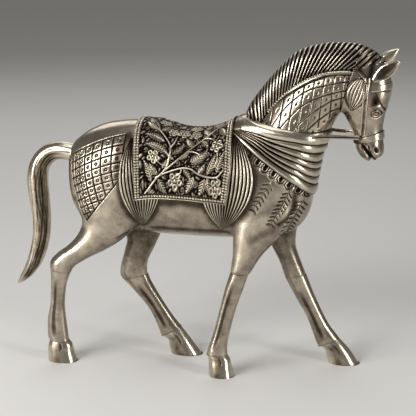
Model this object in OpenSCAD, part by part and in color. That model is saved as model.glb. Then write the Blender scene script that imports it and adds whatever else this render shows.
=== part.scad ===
// Walking horse ornament, cast in aluminium in separate pieces that are
// spigoted together. Millimetres, +X towards the head, +Y to the horse's left,
// +Z up, with the origin on the ground under the middle of the horse.

/* [Castings] */
// Greatest half width of the barrel
barrel_half_width = 37; // [34:0.5:40]
// Wall of the hollow body and neck castings
wall = 4; // [3:0.5:5]
// Gap between a fitting's back and the skin that carries it
seat_gap = 0.1; // [0.05:0.05:0.2]
// How far a casting overhangs the narrower one spigoted into it
lip = 0.6; // [0.2:0.1:1]

/* [Stance] */
// Middle of the right forefoot from the centre plane
fore_right_track = 29.5; // [27:0.5:32]
// Middle of the left forefoot from the centre plane
fore_left_track = 33; // [30:0.5:35]
// Middle of each hind foot from the centre plane
hind_track = 24; // [21:0.5:27]

/* [Spigots] */
// Radial clearance of every spigot and dowel in its socket
fit = 0.05; // [0.02:0.01:0.1]
// Diameter of the spigots that carry the cannons and hooves
leg_spigot_d = 7; // [5:0.5:8]
// Length of the spigots that carry the cannons and hooves
leg_spigot_l = 9; // [7:0.5:11]
// Diameter of the ear spigots
ear_spigot_d = 3; // [2.5:0.25:3.5]
// Length of the ear spigots
ear_spigot_l = 6; // [4:0.5:8]
// Diameter of the tail spigot
tail_spigot_d = 8; // [6:0.5:9]
// Length of the tail spigot
tail_spigot_l = 13; // [10:0.5:16]
// Depth of the neck's collar in the body
collar_l = 6; // [4:0.5:8]
// Diameter of the dowels across the body seam
dowel_d = 4; // [3:0.5:5]
// Length of the dowels across the body seam
dowel_l = 18; // [12:1:24]
// Diameter of the cast bosses round dowels and the tail spigot
boss_d = 14; // [12:0.5:16]

/* [Saddle and girths] */
// Thickness of the saddle panels
panel_t = 3; // [2:0.25:4]
// Thickness of the sunk ground between the panels' rails
ground_t = 1.6; // [1.2:0.1:2]
// Width of the rails at the panels' sides
rail_w = 6.4; // [4:0.2:8]
// Width of the rail along the panels' hem
hem_rail_w = 3.6; // [2.8:0.2:5]
// Width of a stem in the panels' relief
stem_w = 2.8; // [2:0.2:4]
// Flutes across one girth fan
fan_flutes = 7; // [5:1:9]
// Thickness of a girth fan in its grooves
fan_t = 1.6; // [1.2:0.1:3]
// Height of a girth fan's flutes
fan_flute_h = 1.4; // [0.6:0.1:2]

/* [Breast drape] */
// Pleats in each half of the drape
drape_pleats = 6; // [4:1:8]
// Thickness of the drape in a valley
drape_t = 1.6; // [1.2:0.1:3]
// Height of a pleat over the valley
pleat_h = 1.6; // [0.6:0.1:2.4]

/* [Mane] */
// Locks along the mane
mane_locks = 26; // [18:1:32]
// Depth of the grooves between the locks
mane_groove = 1.5; // [0.6:0.1:2.4]

/* [Bridle] */
// Width of the bridle straps
strap_w = 5; // [4:0.5:6]
// Thickness of the bridle straps
strap_t = 1; // [0.8:0.1:1.6]
// Height of a rein bar
rein_h = 4; // [3:0.25:5]
// Thickness of a rein bar
rein_t = 3; // [2:0.25:4]

/* [Hidden] */
$fn = 20;

bright = "#c9c0ae";
warm = "#bdb29c";
dark = "#8f8676";

// A loft is a list of stations. Each gives the two ends of a section in side
// view, under x, under z, over x, over z, then its half width, and how much the
// section leans its width towards the underside.

// Trunk from the rump to the seat of the neck. Over the shoulder the sections
// fan round the withers.
trunk = [
    [-121.5, 164, -122, 192, barrel_half_width - 26.5, 0],
    [-118.5, 149, -120.5, 204, barrel_half_width - 16.5, 0],
    [-112, 138, -114, 211.5, barrel_half_width - 9.5, 0],
    [-101, 131.5, -102.5, 219.5, barrel_half_width - 4.5, 0],
    [-84, 127.5, -86, 226, barrel_half_width - 1, 0],
    [-60, 126, -61, 229.4, barrel_half_width, 0],
    [-38, 125, -38, 229, barrel_half_width, 0],
    [-14, 124.8, -13, 223.3, barrel_half_width - 0.5, 0],
    [8, 124.8, 9, 224, barrel_half_width - 0.5, 0],
    [30, 125.3, 26, 229.5, barrel_half_width - 1, 0],
    [56, 126.5, 32, 233, barrel_half_width - 1, 0.02],
    [78, 130, 34.5, 234.6, barrel_half_width - 2, 0.05],
    [93, 139, 36, 235.6, barrel_half_width - 3, 0.08],
    [101.5, 152, 37, 236.2, 32.5, 0.1],
    [105, 168, 37.8, 236.8, 31, 0.12],
    [107, 184, 38.6, 237.3, 29, 0.14],
    [110, 200, 39.4, 237.8, 27, 0.16],
    [112, 213, 40.2, 238.4, 26, 0.18],
    [115, 221.6, 41, 239, 25, 0.2]
];
seat = len(trunk) - 1;
trunk_square = 0.88;

// Head from the neck joint over the poll and down the face.
head_line = [
    [129.3, 244.3, 146.8, 303.5, 16.6, 0.12],
    [130.5, 243.8, 157, 299.2, 16.4, 0.06],
    [131.8, 242.3, 166, 291, 16, 0],
    [133.3, 240, 171, 280, 16, -0.04],
    [135, 237, 173, 268, 15.5, -0.06],
    [137.2, 233, 171.3, 256.5, 14.2, -0.06],
    [139.5, 228.5, 168.2, 245, 12.4, -0.04],
    [141, 223.5, 166.2, 233.5, 11.4, 0],
    [142, 218.5, 166.5, 223.8, 11.2, 0],
    [143.2, 212.5, 167.6, 214.5, 11, 0],
    [146.8, 206.4, 166.8, 208, 9.8, 0],
    [151, 203.6, 162.5, 204.8, 7, 0]
];
head_square = 0.95;
// Distance along the head's first section from the throat to the mane
joint_reach = 40.3;
joint_foot = [head_line[0][0], head_line[0][1]];
joint_tip = [head_line[0][2], head_line[0][3]];
joint_way = (joint_tip - joint_foot) / norm(joint_tip - joint_foot);
function joint_point(d) = joint_foot + joint_way * d;

function seat_z(x) =
    let (s = trunk[seat]) s[1] + (s[0] - x) * (s[3] - s[1]) / (s[0] - s[2]);

// Neck from its seat on the body to the head, cut off along the mane. The last
// value is the half width at the mane.
neck_line = [
    [116.5, seat_z(116.5), 59, seat_z(59), 24.7, 14],
    [120.3, 230, 66, 245.5, 23, 13.8],
    [123.8, 236.5, 75, 256, 21, 13.4],
    [126, 240.5, 86, 266, 19.5, 13],
    [127.6, 243, 100.5, 275.5, 18.2, 12.6],
    [128.5, 244, 115, 281, 17.5, 12.2],
    [129, 244.3, 128, 283, 17, 11.8],
    concat(joint_foot, joint_point(joint_reach), [16.6, 11.5])
];

// Mane: foot of a lock, tip of the lock, half width at the foot.
mane_line = [
    [44.5, 238.4, 43.5, 242, 5],
    [51, 236.9, 47.5, 250, 10],
    [58.6, 235.2, 55, 261, 13.4],
    [66, 245.5, 64, 272.5, 13.6],
    [75, 256, 75, 285, 13.2],
    [86, 266, 90.5, 298.5, 12.8],
    [100.5, 275.5, 111, 305, 12.4],
    [115, 281, 129.5, 306.5, 12],
    [128, 283, 144.5, 305.3, 11.6],
    [140.5, 283, 158, 299.5, 11.3],
    [150, 281.5, 168, 291, 11]
];

// Each limb: stations down to the joint, the cannon below it, then the hoof.
// Rear x, rear z, front x, front z, half width.
fore_right_limb = [
    [[50, 192, 80, 194, 7], [43, 172, 88, 176, 11.5], [37.5, 150, 92, 154, 13],
     [36.4, 131, 80, 134, 11.8], [36.5, 115, 64, 115.5, 10], [34.3, 97.4, 52.4, 96.6, 8.4]],
    [[30.4, 84, 47.6, 85, 7.2], [25.5, 64, 40, 62.5, 6.3], [20.5, 43, 35.2, 43.5, 6.3],
     [15, 26, 32.6, 29, 7], [13.2, 19.5, 33, 18.5, 7.4]],
    [[15.5, 14, 35.6, 15.5, 8.2], [15.7, 8, 37.2, 9, 9.8], [16.4, -2, 39.8, -2, 11.4]]
];
fore_left_limb = [
    [[52, 192, 82, 194, 7], [47, 172, 92, 176, 11.5], [46, 150, 98, 154, 12.5],
     [53, 129, 88, 136, 11.4], [62.5, 112, 85, 116, 9.8], [69.5, 98, 88.5, 102, 8.7],
     [75.8, 79.5, 95.4, 83.8, 8]],
    [[84.5, 64, 102.2, 67, 6.9], [95.5, 44, 110.5, 48.5, 6.3], [101.5, 29, 117, 36.5, 6.6],
     [104.5, 20.5, 123, 28.5, 7.2], [107.2, 14.5, 126.3, 24.2, 7.4]],
    [[113, 12.5, 133, 17, 8.4], [114.6, 7, 139, 9.5, 9.8], [117, -2, 146.4, -2, 11.4]]
];
hind_right_limb = [
    [[-102, 198, -68, 203, 8], [-112.5, 175, -57, 180, 13], [-112, 152, -51.5, 154, 14.4],
     [-106.5, 137, -55.5, 135, 13], [-111.5, 123, -68, 121.5, 11.2], [-121, 112.5, -84, 110.5, 9.8],
     [-131.5, 104.5, -101, 101.5, 8.7], [-138.3, 96.5, -115, 92, 8],
     [-138.6, 87, -119.3, 84.5, 7.5]],
    [[-138.1, 77, -123.3, 74, 6.5], [-139.1, 56, -125.4, 57, 6], [-142, 40, -124.5, 41.6, 6.5],
     [-142.3, 25, -122.4, 24.5, 7.2], [-140.6, 19, -121.6, 19.4, 7.4]],
    [[-142.3, 14, -118.6, 16, 8.6], [-142.2, 8, -117, 9, 9.8], [-141.8, -2, -113.4, -2, 11.6]]
];
hind_left_limb = [
    [[-102, 198, -66, 203, 8], [-110, 175, -48, 179, 13], [-104, 152, -39, 153, 14],
     [-88, 131, -37.5, 133, 12], [-77, 113, -43.5, 118, 10.4], [-79.1, 100, -50.1, 103.5, 9.3],
     [-82.9, 86, -56.3, 90.5, 8.4], [-84.4, 75.5, -57.6, 80.5, 7.9],
     [-80.6, 68.5, -56.4, 75.5, 7.5]],
    [[-70.5, 59.5, -53.4, 68.6, 6.8], [-57.3, 44.5, -44.5, 53.5, 6.2], [-50.5, 32.5, -34.5, 38.5, 6.5],
     [-46.4, 22.5, -27.5, 29.5, 7.2], [-43.9, 15.2, -24.6, 26.6, 7.4]],
    [[-37.4, 12.5, -17.5, 17, 8.4], [-36.4, 7, -11.8, 9.5, 9.8], [-34.4, -2, -3.6, -2, 11.4]]
];
shoulder_z = 160;
ground_cut = [500, 100, 20];

// Tail: centre line x, z, then depth and half width.
tail_line = [
    [-124, 196, 16.6, 8.3], [-135.5, 197, 17, 8.5], [-147.5, 192, 18, 8.8],
    [-155.5, 181, 19, 9], [-157.5, 166, 20, 9], [-156, 148, 19, 8.8],
    [-154.5, 130, 17.5, 8.2], [-155.5, 112, 16.5, 7.6], [-160.5, 94, 15, 6.8],
    [-167.5, 80, 11.5, 5.4], [-174.5, 71, 7, 3.6], [-179.8, 65.5, 2.4, 1.4]
];
tail_seat_x = -116.5;

// Cubic curve through a list of vectors, at a position counted in list steps.
function curve(v, u) =
    let (last = len(v) - 1, i = max(0, min(floor(u), last - 1)), f = u - i,
         a = v[i], b = v[i + 1],
         da = (b - v[max(i - 1, 0)]) / (i > 0 ? 2 : 1),
         db = (v[min(i + 2, last)] - a) / (i + 2 <= last ? 2 : 1))
    a * (1 + 2 * f) * (1 - f) * (1 - f) + da * f * (1 - f) * (1 - f)
    + b * f * f * (3 - 2 * f) - db * f * f * (1 - f);

function mix(a, b, f) = a * (1 - f) + b * f;
function flipped(r) = [for (k = [len(r) - 1:-1:0]) r[k]];
function power(v, e) = sign(v) * pow(abs(v), e);

// Point of an oval section: angle 0 is its over end and 180 its under end.
function section_point(s, angle, grow = 0, square = 1, y = 0) =
    let (under = [s[0], s[1]], over = [s[2], s[3]], half = (over - under) / 2,
         reach = norm(half), way = half / reach, mid = (under + over) / 2,
         along = (reach + grow) * power(cos(angle), square),
         lean = is_undef(s[5]) ? 0 : s[5],
         across = (s[4] + grow) * power(sin(angle), square) * (1 - lean * cos(angle)))
    [mid[0] + way[0] * along, y + across, mid[1] + way[1] * along];

// Closed solid through a list of rings with the same number of points each.
module loft(rings) {
    m = len(rings[0]);
    n = len(rings);
    sides = [for (i = [0:n - 2], j = [0:m - 1])
        let (a = i * m + j, b = i * m + (j + 1) % m, c = a + m, d = b + m)
        each [[a, b, c], [b, d, c]]];
    caps = [[for (j = [m - 1:-1:0]) j], [for (j = [0:m - 1]) (n - 1) * m + j]];
    polyhedron([for (r = rings) each r], concat(sides, caps), convexity = 10);
}

// Closed sheet between two grids of points of the same size.
module sheet(outer, inner) {
    n = len(outer);
    m = len(outer[0]);
    back = n * m;
    skins = [for (i = [0:n - 2], j = [0:m - 2])
        let (a = i * m + j, b = a + 1, c = a + m, d = c + 1)
        each [[a, c, b], [b, c, d], [back + a, back + b, back + c], [back + b, back + d, back + c]]];
    rim = concat([for (j = [0:m - 1]) j], [for (i = [1:n - 1]) i * m + m - 1],
                 [for (j = [m - 2:-1:0]) (n - 1) * m + j], [for (i = [n - 2:-1:1]) i * m]);
    edges = [for (k = [0:len(rim) - 1])
        let (a = rim[k], b = rim[(k + 1) % len(rim)])
        each [[a, b, back + a], [b, back + b, back + a]]];
    polyhedron([each [for (r = outer) each r], each [for (r = inner) each r]],
               concat(skins, edges), convexity = 10);
}

module on_side(side) {
    if (side == "right") mirror([0, 1, 0]) children();
    else children();
}

// Trunk skin, and the place on it of a point in side view.
function trunk_point(u, angle, grow = 0) = section_point(curve(trunk, u), angle, grow, trunk_square);
function ahead(line, u, p) =
    let (s = curve(line, u)) cross([s[2] - s[0], s[3] - s[1]], p - [s[0], s[1]]) < 0;
function place(line, p, low, high, steps = 16) =
    steps == 0 ? (low + high) / 2
    : let (mid = (low + high) / 2)
      ahead(line, mid, p) ? place(line, p, mid, high, steps - 1)
      : place(line, p, low, mid, steps - 1);
function angle_at(s, p, square) =
    let (under = [s[0], s[1]], span = [s[2], s[3]] - under,
         share = 2 * ((p - under) * span) / (span * span) - 1)
    acos(max(-1, min(1, power(share, 1 / square))));
function skin(line, square, p, grow) =
    let (u = place(line, p, 0, len(line) - 1), s = curve(line, u))
    section_point(s, angle_at(s, p, square), grow, square);
function trunk_skin(p, grow) = skin(trunk, trunk_square, p, grow);

// Limbs. A cut runs past the face it opens, and a spigot starts inside its piece.
overrun = 1;
spigot_root = 2;
function leg_y(z, top, track) = track + (top - track) * max(0, min(1, z / shoulder_z));
function ring_full(s, grow, y, n = 12) = [for (k = [0:n - 1]) section_point(s, 360 * k / n, grow, 0.95, y)];
function ring_way(s) = let (v = [s[2] - s[0], s[3] - s[1]]) v / norm(v);
function moved(s, d) =
    let (w = ring_way(s), q = [-w[1] * d, w[0] * d])
    [s[0] + q[0], s[1] + q[1], s[2] + q[0], s[3] + q[1], s[4]];
function mid_z(s) = (s[1] + s[3]) / 2;
function mid_x(s) = (s[0] + s[2]) / 2;
function limb_rings(stations, top, track, grow = 0) =
    [for (s = stations) ring_full(s, grow, leg_y(mid_z(s), top, track))];
function limb_last(part) = part[len(part) - 1];

module at_joint(s, top, track) {
    way = ring_way(s);
    translate([mid_x(s), leg_y(mid_z(s), top, track), mid_z(s)])
        rotate([0, atan2(-way[1], way[0]), 0]) children();
}
module leg_socket(s, top, track) {
    at_joint(s, top, track) translate([0, 0, -overrun])
        cylinder(d = leg_spigot_d + 2 * fit, h = leg_spigot_l + 2 * overrun);
}
module leg_spigot(s, top, track) {
    at_joint(s, top, track) translate([0, 0, -spigot_root])
        cylinder(d = leg_spigot_d, h = leg_spigot_l + spigot_root - seat_gap);
}
function lower_top(s) =
    let (m = moved(s, -seat_gap), w = ring_way(s))
    [m[0] + w[0] * lip, m[1] + w[1] * lip, m[2] - w[0] * lip, m[3] - w[1] * lip, m[4] - lip];

shoulder_y = barrel_half_width - 15.5;
hip_right_y = barrel_half_width - 15;
hip_left_y = barrel_half_width - 18;
// Limb, its height line at the trunk and its track, for each corner
fore_right = [fore_right_limb, shoulder_y, fore_right_track];
fore_left = [fore_left_limb, shoulder_y, fore_left_track];
hind_right = [hind_right_limb, hip_right_y, hind_track];
hind_left = [hind_left_limb, hip_left_y, hind_track];

module cannon(corner, side) {
    limb = corner[0];
    knee = limb_last(limb[0]);
    fetlock = limb_last(limb[1]);
    color(warm) on_side(side) difference() {
        union() {
            loft(limb_rings(concat([lower_top(knee)], limb[1]), corner[1], corner[2]));
            leg_spigot(knee, corner[1], corner[2]);
        }
        leg_socket(fetlock, corner[1], corner[2]);
    }
}
module hoof(corner, side) {
    limb = corner[0];
    fetlock = limb_last(limb[1]);
    color(bright) on_side(side) difference() {
        union() {
            loft(limb_rings(concat([lower_top(fetlock)], limb[2]), corner[1], corner[2]));
            leg_spigot(fetlock, corner[1], corner[2]);
        }
        translate([-ground_cut[0] / 2, 0, -ground_cut[2]]) cube(ground_cut);
    }
}
module limb_stub(corner, grow = 0) {
    rings = limb_rings(corner[0][0], corner[1], corner[2], grow);
    for (i = [0:len(rings) - 2]) hull() loft([rings[i], rings[i + 1]]);
}

// Body halves
half_steps = 12;
function half_ring(u, grow) = [for (k = [0:half_steps]) trunk_point(u, 180 * k / half_steps, grow)];
module half_trunk(grow = 0) {
    loft([for (i = [0:seat]) half_ring(i, grow)]);
}

// The hollow starts ahead of the tail's seat and opens at the neck's.
cavity_start = 2.2;
function full_ring(u, grow, n = 10) = [for (k = [0:n - 1]) trunk_point(u, 360 * k / n, grow)];
function shift_up(ring, d) =
    let (w = ring_way(trunk[seat])) [for (p = ring) p + [w[1] * d, 0, -w[0] * d]];
module cavity() {
    rings = [for (i = [0:seat - 1]) if (i > cavity_start) full_ring(i, -wall)];
    loft(concat([full_ring(cavity_start, -wall)], rings, [shift_up(full_ring(seat, -wall), overrun)]));
}

// Dowel places: position along the trunk, then 1 at the spine or 0 at the belly.
dowel_places = [[4.5, 1], [8.5, 1], [5.5, 0], [8.5, 0]];
boss_bite = 1;
boss_floor = 4;
boss_sides = 16;
function dowel_at(d) =
    let (s = curve(trunk, d[0]), inset = wall + boss_d / 2 - boss_bite)
    d[1] == 1 ? [s[2], 0, s[3] - inset] : [s[0], 0, s[1] + inset];
module at_dowels() {
    for (d = dowel_places) translate(dowel_at(d)) rotate([-90, 0, 0]) children();
}
module at_tail_seat() {
    translate([tail_seat_x, 0, tail_line[0][1]]) rotate([0, 90, 0]) children();
}
half_space = [600, 200, 400];
module left_half() {
    translate([-half_space[0] / 2, 0, 0]) cube(half_space);
}
module body_half(fore, hind, side) {
    color(warm) on_side(side) difference() {
        union() {
            difference() {
                half_trunk();
                cavity();
            }
            limb_stub(fore);
            limb_stub(hind);
            at_dowels() cylinder(d = boss_d, h = dowel_l / 2 + boss_floor, $fn = boss_sides);
            intersection() {
                at_tail_seat() cylinder(d = boss_d, h = tail_spigot_l + boss_floor, $fn = boss_sides);
                left_half();
            }
        }
        leg_socket(limb_last(fore[0][0]), fore[1], fore[2]);
        leg_socket(limb_last(hind[0][0]), hind[1], hind[2]);
        at_dowels() translate([0, 0, -overrun])
            cylinder(d = dowel_d + 2 * fit, h = dowel_l / 2 + overrun + fit);
        at_tail_seat() mirror([0, 0, 1]) cylinder(d = tail_line[0][2] + 2 * seat_gap, h = boss_d);
        at_tail_seat() translate([0, 0, -overrun])
            cylinder(d = tail_spigot_d + 2 * fit, h = tail_spigot_l + 2 * overrun);
    }
}
module body_right() { body_half(fore_right, hind_right, "right"); }
module body_left() { body_half(fore_left, hind_left, "left"); }

// Cuts the back of a fitting to the skin that carries it, limbs included.
sunk = 1.2;
module seated(side) {
    on_side(side) difference() {
        children();
        half_trunk(seat_gap);
        limb_stub(side == "right" ? fore_right : fore_left, seat_gap);
        limb_stub(side == "right" ? hind_right : hind_left, seat_gap);
    }
}

// Neck: one skin that runs down the inside, round the collar and up the outside.
function neck_ring(s, shrink = 0, rise = 0, n = 7) =
    let (way = ring_way(s), a = [s[0], s[1]] + way * shrink, b = [s[2], s[3]] - way * shrink,
         w = s[4] - shrink, edge = asin((s[5] - shrink) / w), up = [way[1], -way[0]] * rise,
         side = [for (k = [0:n])
             let (t = edge + (180 - edge) * k / n, f = (1 + cos(t)) / (1 + cos(edge)),
                  q = a + (b - a) * f + up)
             [q[0], w * sin(t), q[1]]])
    concat(side, [for (k = [n - 1:-1:0]) [side[k][0], -side[k][1], side[k][2]]]);
neck_top = len(neck_line) - 1;
neck_hollow = 4.6;
collar_inset = 2.6;
collar_wall = 2.5;
module neck() {
    thick = wall + collar_inset + collar_wall;
    inside = [for (u = [neck_hollow:-0.8:0]) neck_ring(curve(neck_line, u), thick)];
    rim = [neck_ring(neck_line[0], thick, -collar_l),
           neck_ring(neck_line[0], thick - collar_wall, -collar_l),
           neck_ring(neck_line[0], thick - collar_wall, seat_gap),
           neck_ring(neck_line[0], 0, seat_gap)];
    outside = [for (u = [0.5:0.5:neck_top]) neck_ring(curve(neck_line, u))];
    color(warm) loft(concat(inside, rim, outside));
}

// Mane: locks are sections from foot to tip, every second one sunk as a groove.
mane_seat = 0.3;
mane_square = 0.8;
groove_sides = 0.6;
least_lock = 3;
function lock_ring(s, depth, n = 4) =
    let (way = ring_way(s), foot = [s[0], s[1]] + way * mane_seat,
         long = norm([s[2] - s[0], s[3] - s[1]]) - depth, wide = s[4] - depth * groove_sides,
         side = [for (k = [0:n])
             let (q = foot + way * long * power(cos(90 * k / n), mane_square))
             [q[0], wide * power(sin(90 * k / n), mane_square), q[1]]])
    concat(side, [for (k = [n:-1:1]) [side[k][0], -side[k][1], side[k][2]]]);
module behind_joint() {
    translate([joint_foot[0], 0, joint_foot[1]]) rotate([0, atan2(joint_way[0], joint_way[1]), 0])
        translate([-half_space[0], -half_space[1] / 2, -half_space[2] / 2])
            cube(half_space - [seat_gap, 0, 0]);
}
module mane() {
    steps = 2 * mane_locks;
    last = len(mane_line) - 1;
    color(dark) intersection() {
        loft([for (i = [0:steps])
            let (s = curve(mane_line, last * i / steps), depth = min(mane_groove, (s[4] - least_lock) / 2))
            lock_ring(s, i % 2 == 1 ? depth : 0)]);
        behind_joint();
    }
}

// Head and ears. An ear is a cupped leaf from a base to a tip. Each section gives
// its share of the length, its half width, the depth of its back and of its hollow.
ear_right_line = [[161.1, 10.8, 282.8], [181.2, 13, 293]];
ear_left_line = [[158.9, 9.9, 286.8], [176.5, 13, 300.5]];
ear_leaf = [[0, 3.2, 3.3, 0.3], [0.18, 3.7, 3.4, 0.7], [0.42, 5.8, 3.4, 2.2], [0.66, 4.9, 2.9, 1.8],
            [0.86, 2.7, 2, 1.1], [1, 0.7, 0.9, 0.3]];
ear_rim = 0.9;
ear_fold = 0.4;
ear_axis = -1.5;
ear_seat_d = 8;
ear_seat_l = 12;
module at_ear(line) {
    v = line[1] - line[0];
    translate(line[0]) rotate([0, -asin(v[2] / norm(v)), atan2(v[1], v[0])]) children();
}
function ear_ring(s, long, n = 8) =
    let (arc = [for (k = [0:n]) -90 + 180 * k / n], inner = max(s[1] / 2, s[1] - ear_rim))
    concat([for (a = arc) [s[0] * long, -s[2] * cos(a), s[1] * sin(a)]],
           [for (a = flipped(arc)) [s[0] * long, ear_fold - s[3] * cos(a), inner * sin(a)]]);
module ear(line, side) {
    long = norm(line[1] - line[0]);
    color(bright) on_side(side) at_ear(line) {
        loft([for (s = ear_leaf) ear_ring(s, long)]);
        translate([-ear_spigot_l, ear_axis, 0]) rotate([0, 90, 0])
            cylinder(d = ear_spigot_d, h = ear_spigot_l + spigot_root);
    }
}
module ear_seat(line) {
    at_ear(line) translate([0, ear_axis, 0]) rotate([0, 90, 0]) {
        translate([0, 0, -ear_spigot_l - overrun])
            cylinder(d = ear_spigot_d + 2 * fit, h = ear_spigot_l + 2 * overrun);
        translate([0, 0, -seat_gap]) cylinder(d = ear_seat_d, h = ear_seat_l);
    }
}
head_sides = 16;
function head_point(u, k, grow = 0) =
    section_point(curve(head_line, u), 360 * k / head_sides, grow, head_square);
function head_ring(u, grow = 0) = [for (k = [0:head_sides - 1]) head_point(u, k, grow)];
module head() {
    color(bright) difference() {
        loft([for (u = [0:0.5:len(head_line) - 1]) head_ring(u)]);
        mirror([0, 1, 0]) ear_seat(ear_right_line);
        ear_seat(ear_left_line);
    }
}
module ear_right() { ear(ear_right_line, "right"); }
module ear_left() { ear(ear_left_line, "left"); }

// Tail: a bent taper with a round root that plugs into the rump.
function tail_way(u) =
    let (a = curve(tail_line, max(0, u - 0.1)), b = curve(tail_line, min(len(tail_line) - 1, u + 0.1)),
         v = [b[0] - a[0], b[1] - a[1]]) v / norm(v);
function tail_ring(u, n = 10) =
    let (s = curve(tail_line, u), w = u == 0 ? [-1, 0] : tail_way(u),
         across = [-w[1], w[0]] * s[2] / 2)
    ring_full([s[0] - across[0], s[1] - across[1], s[0] + across[0], s[1] + across[1], s[3]], 0, 0, n);
module tail() {
    root = tail_line[0];
    reach = tail_seat_x - root[0];
    color(bright) union() {
        loft([for (u = [0:0.5:len(tail_line) - 1]) tail_ring(u)]);
        translate([root[0] - overrun, 0, root[1]]) rotate([0, 90, 0])
            cylinder(d = root[2] - 2 * seat_gap, h = reach + overrun - seat_gap);
        translate([root[0], 0, root[1]]) rotate([0, 90, 0])
            cylinder(d = tail_spigot_d, h = reach + tail_spigot_l);
    }
}

// Saddle panels: a sheet over the flank from the spine to below mid height. Rails
// frame a sunk ground, on which stems carry leaves and flowers. A place on a panel
// is a share of its width, from the rear, and of its depth, from the spine.
panel_rear = [[0, -57], [40, -56.5], [75, -54.5], [104, -51.5]];
panel_front = [[0, 31], [40, 33.5], [75, 35.5], [104, 32.5]];
panel_last_angle = 103.5;
panel_arch = 6;
panel_size = [panel_front[0][1] - panel_rear[0][1], 84];
rail_slope = 0.8;
ground_steps = [6, 9];
function x_at(list, angle) = lookup(angle, list);
function u_at_x(x, angle, low = 0, high = seat, steps = 16) =
    steps == 0 ? (low + high) / 2
    : let (mid = (low + high) / 2)
      trunk_point(mid, angle)[0] < x ? u_at_x(x, angle, mid, high, steps - 1)
      : u_at_x(x, angle, low, mid, steps - 1);
function spaced(p, d) = [p[0], p[1] + d, p[2]];
function panel_point(across, down, grow) =
    let (angle = (panel_last_angle - panel_arch * sin(180 * across)) * down,
         x = mix(x_at(panel_rear, angle), x_at(panel_front, angle), across))
    spaced(trunk_point(u_at_x(x, angle), angle, grow), seat_gap / 2);
function shares(low, high, n) = [for (k = [0:n]) mix(low, high, k / n)];
function panel_grid(rail, ground) =
    let (side = rail_w / panel_size[0], hem = hem_rail_w / panel_size[1],
         slope = [rail_slope / panel_size[0], rail_slope / panel_size[1]],
         across = concat([0, side - slope[0]], shares(side, 1 - side, ground_steps[0]),
                         [1 - side + slope[0], 1]),
         down = concat(shares(0, 1 - hem, ground_steps[1]), [1 - hem + slope[1], 1]))
    [for (d = down) [for (a = across)
        panel_point(a, d, a < side || a > 1 - side || d > 1 - hem ? rail : ground)]];

// Motifs of the relief: points of the stems, then base, tip, half width and bow of
// the leaves, then centre and radius of the flowers.
panel_stems = [
    [[0.13, 0.93], [0.336, 0.736], [0.378, 0.55], [0.34, 0.39], [0.26, 0.283]],
    [[0.336, 0.74], [0.472, 0.611], [0.601, 0.463], [0.727, 0.318], [0.89, 0.15]],
    [[0.27, 0.81], [0.361, 0.767], [0.498, 0.713], [0.596, 0.718], [0.7, 0.78], [0.88, 0.796]]
];
panel_leaves = [
    [[0.585, 0.64], [0.765, 0.49], 5.2, 2.2], [[0.765, 0.775], [0.845, 0.56], 3.7, 0.8],
    [[0.63, 0.79], [0.555, 0.935], 3.6, -0.8], [[0.32, 0.43], [0.115, 0.37], 4.2, 1.2],
    [[0.36, 0.57], [0.115, 0.49], 4.2, 1.6], [[0.25, 0.28], [0.11, 0.13], 5, 0.8],
    [[0.76, 0.27], [0.7, 0.13], 3.4, 0.6]
];
panel_flowers = [[0.862, 0.875, 6.2], [0.44, 0.845, 7.2], [0.503, 0.236, 6.6], [0.845, 0.47, 6.4]];
leaf_shares = [0.04, 0.3, 0.65, 0.96];
leaf_lead = 0.8;
motif_root = 0.6;
motif_drop = 0.2;
petals = 5;
petal_notch = 0.76;
petal_shares = [[1, 0], [0.8, 1]];
motif_low = seat_gap + ground_t - motif_root;
motif_top = seat_gap + panel_t - motif_drop;
function on_panel(p, grow) = panel_point(p[0] / panel_size[0], p[1] / panel_size[1], grow);
function in_mm(share) = [share[0] * panel_size[0], share[1] * panel_size[1]];
// Section of a raised strip: its ridge, then its foot in the ground.
function strip_ring(p, way, half) =
    let (side = [-way[1], way[0]] * half / norm(way))
    [on_panel(p, motif_top), on_panel(p + side, motif_low), on_panel(p - side, motif_low)];
module stem(route) {
    last = len(route) - 1;
    loft([for (k = [0:last])
        strip_ring(in_mm(route[k]), in_mm(route[min(k + 1, last)] - route[max(k - 1, 0)]), stem_w / 2)]);
}
module leaf(base, tip, half, bow) {
    way = in_mm(tip - base);
    side = [-way[1], way[0]] / norm(way);
    loft([for (t = leaf_shares)
        strip_ring(in_mm(base) + way * t + side * bow * sin(180 * t), way,
                   half * sin(180 * pow(t, leaf_lead)))]);
}
module flower(centre, radius) {
    loft([for (s = petal_shares)
        [for (k = [0:2 * petals - 1])
            let (a = -180 * k / petals, r = radius * s[0] * (k % 2 == 1 ? petal_notch : 1))
            on_panel(in_mm(centre) + r * [cos(a), sin(a)], mix(motif_low, motif_top, s[1]))]]);
}
module saddle_panel(side) {
    color(dark) seated(side) {
        sheet(panel_grid(seat_gap + panel_t, seat_gap + ground_t), panel_grid(-sunk, -sunk));
        for (s = panel_stems) stem(s);
        for (l = panel_leaves) leaf(l[0], l[1], l[2], l[3]);
        for (f = panel_flowers) flower([f[0], f[1]], f[2]);
    }
}

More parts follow.
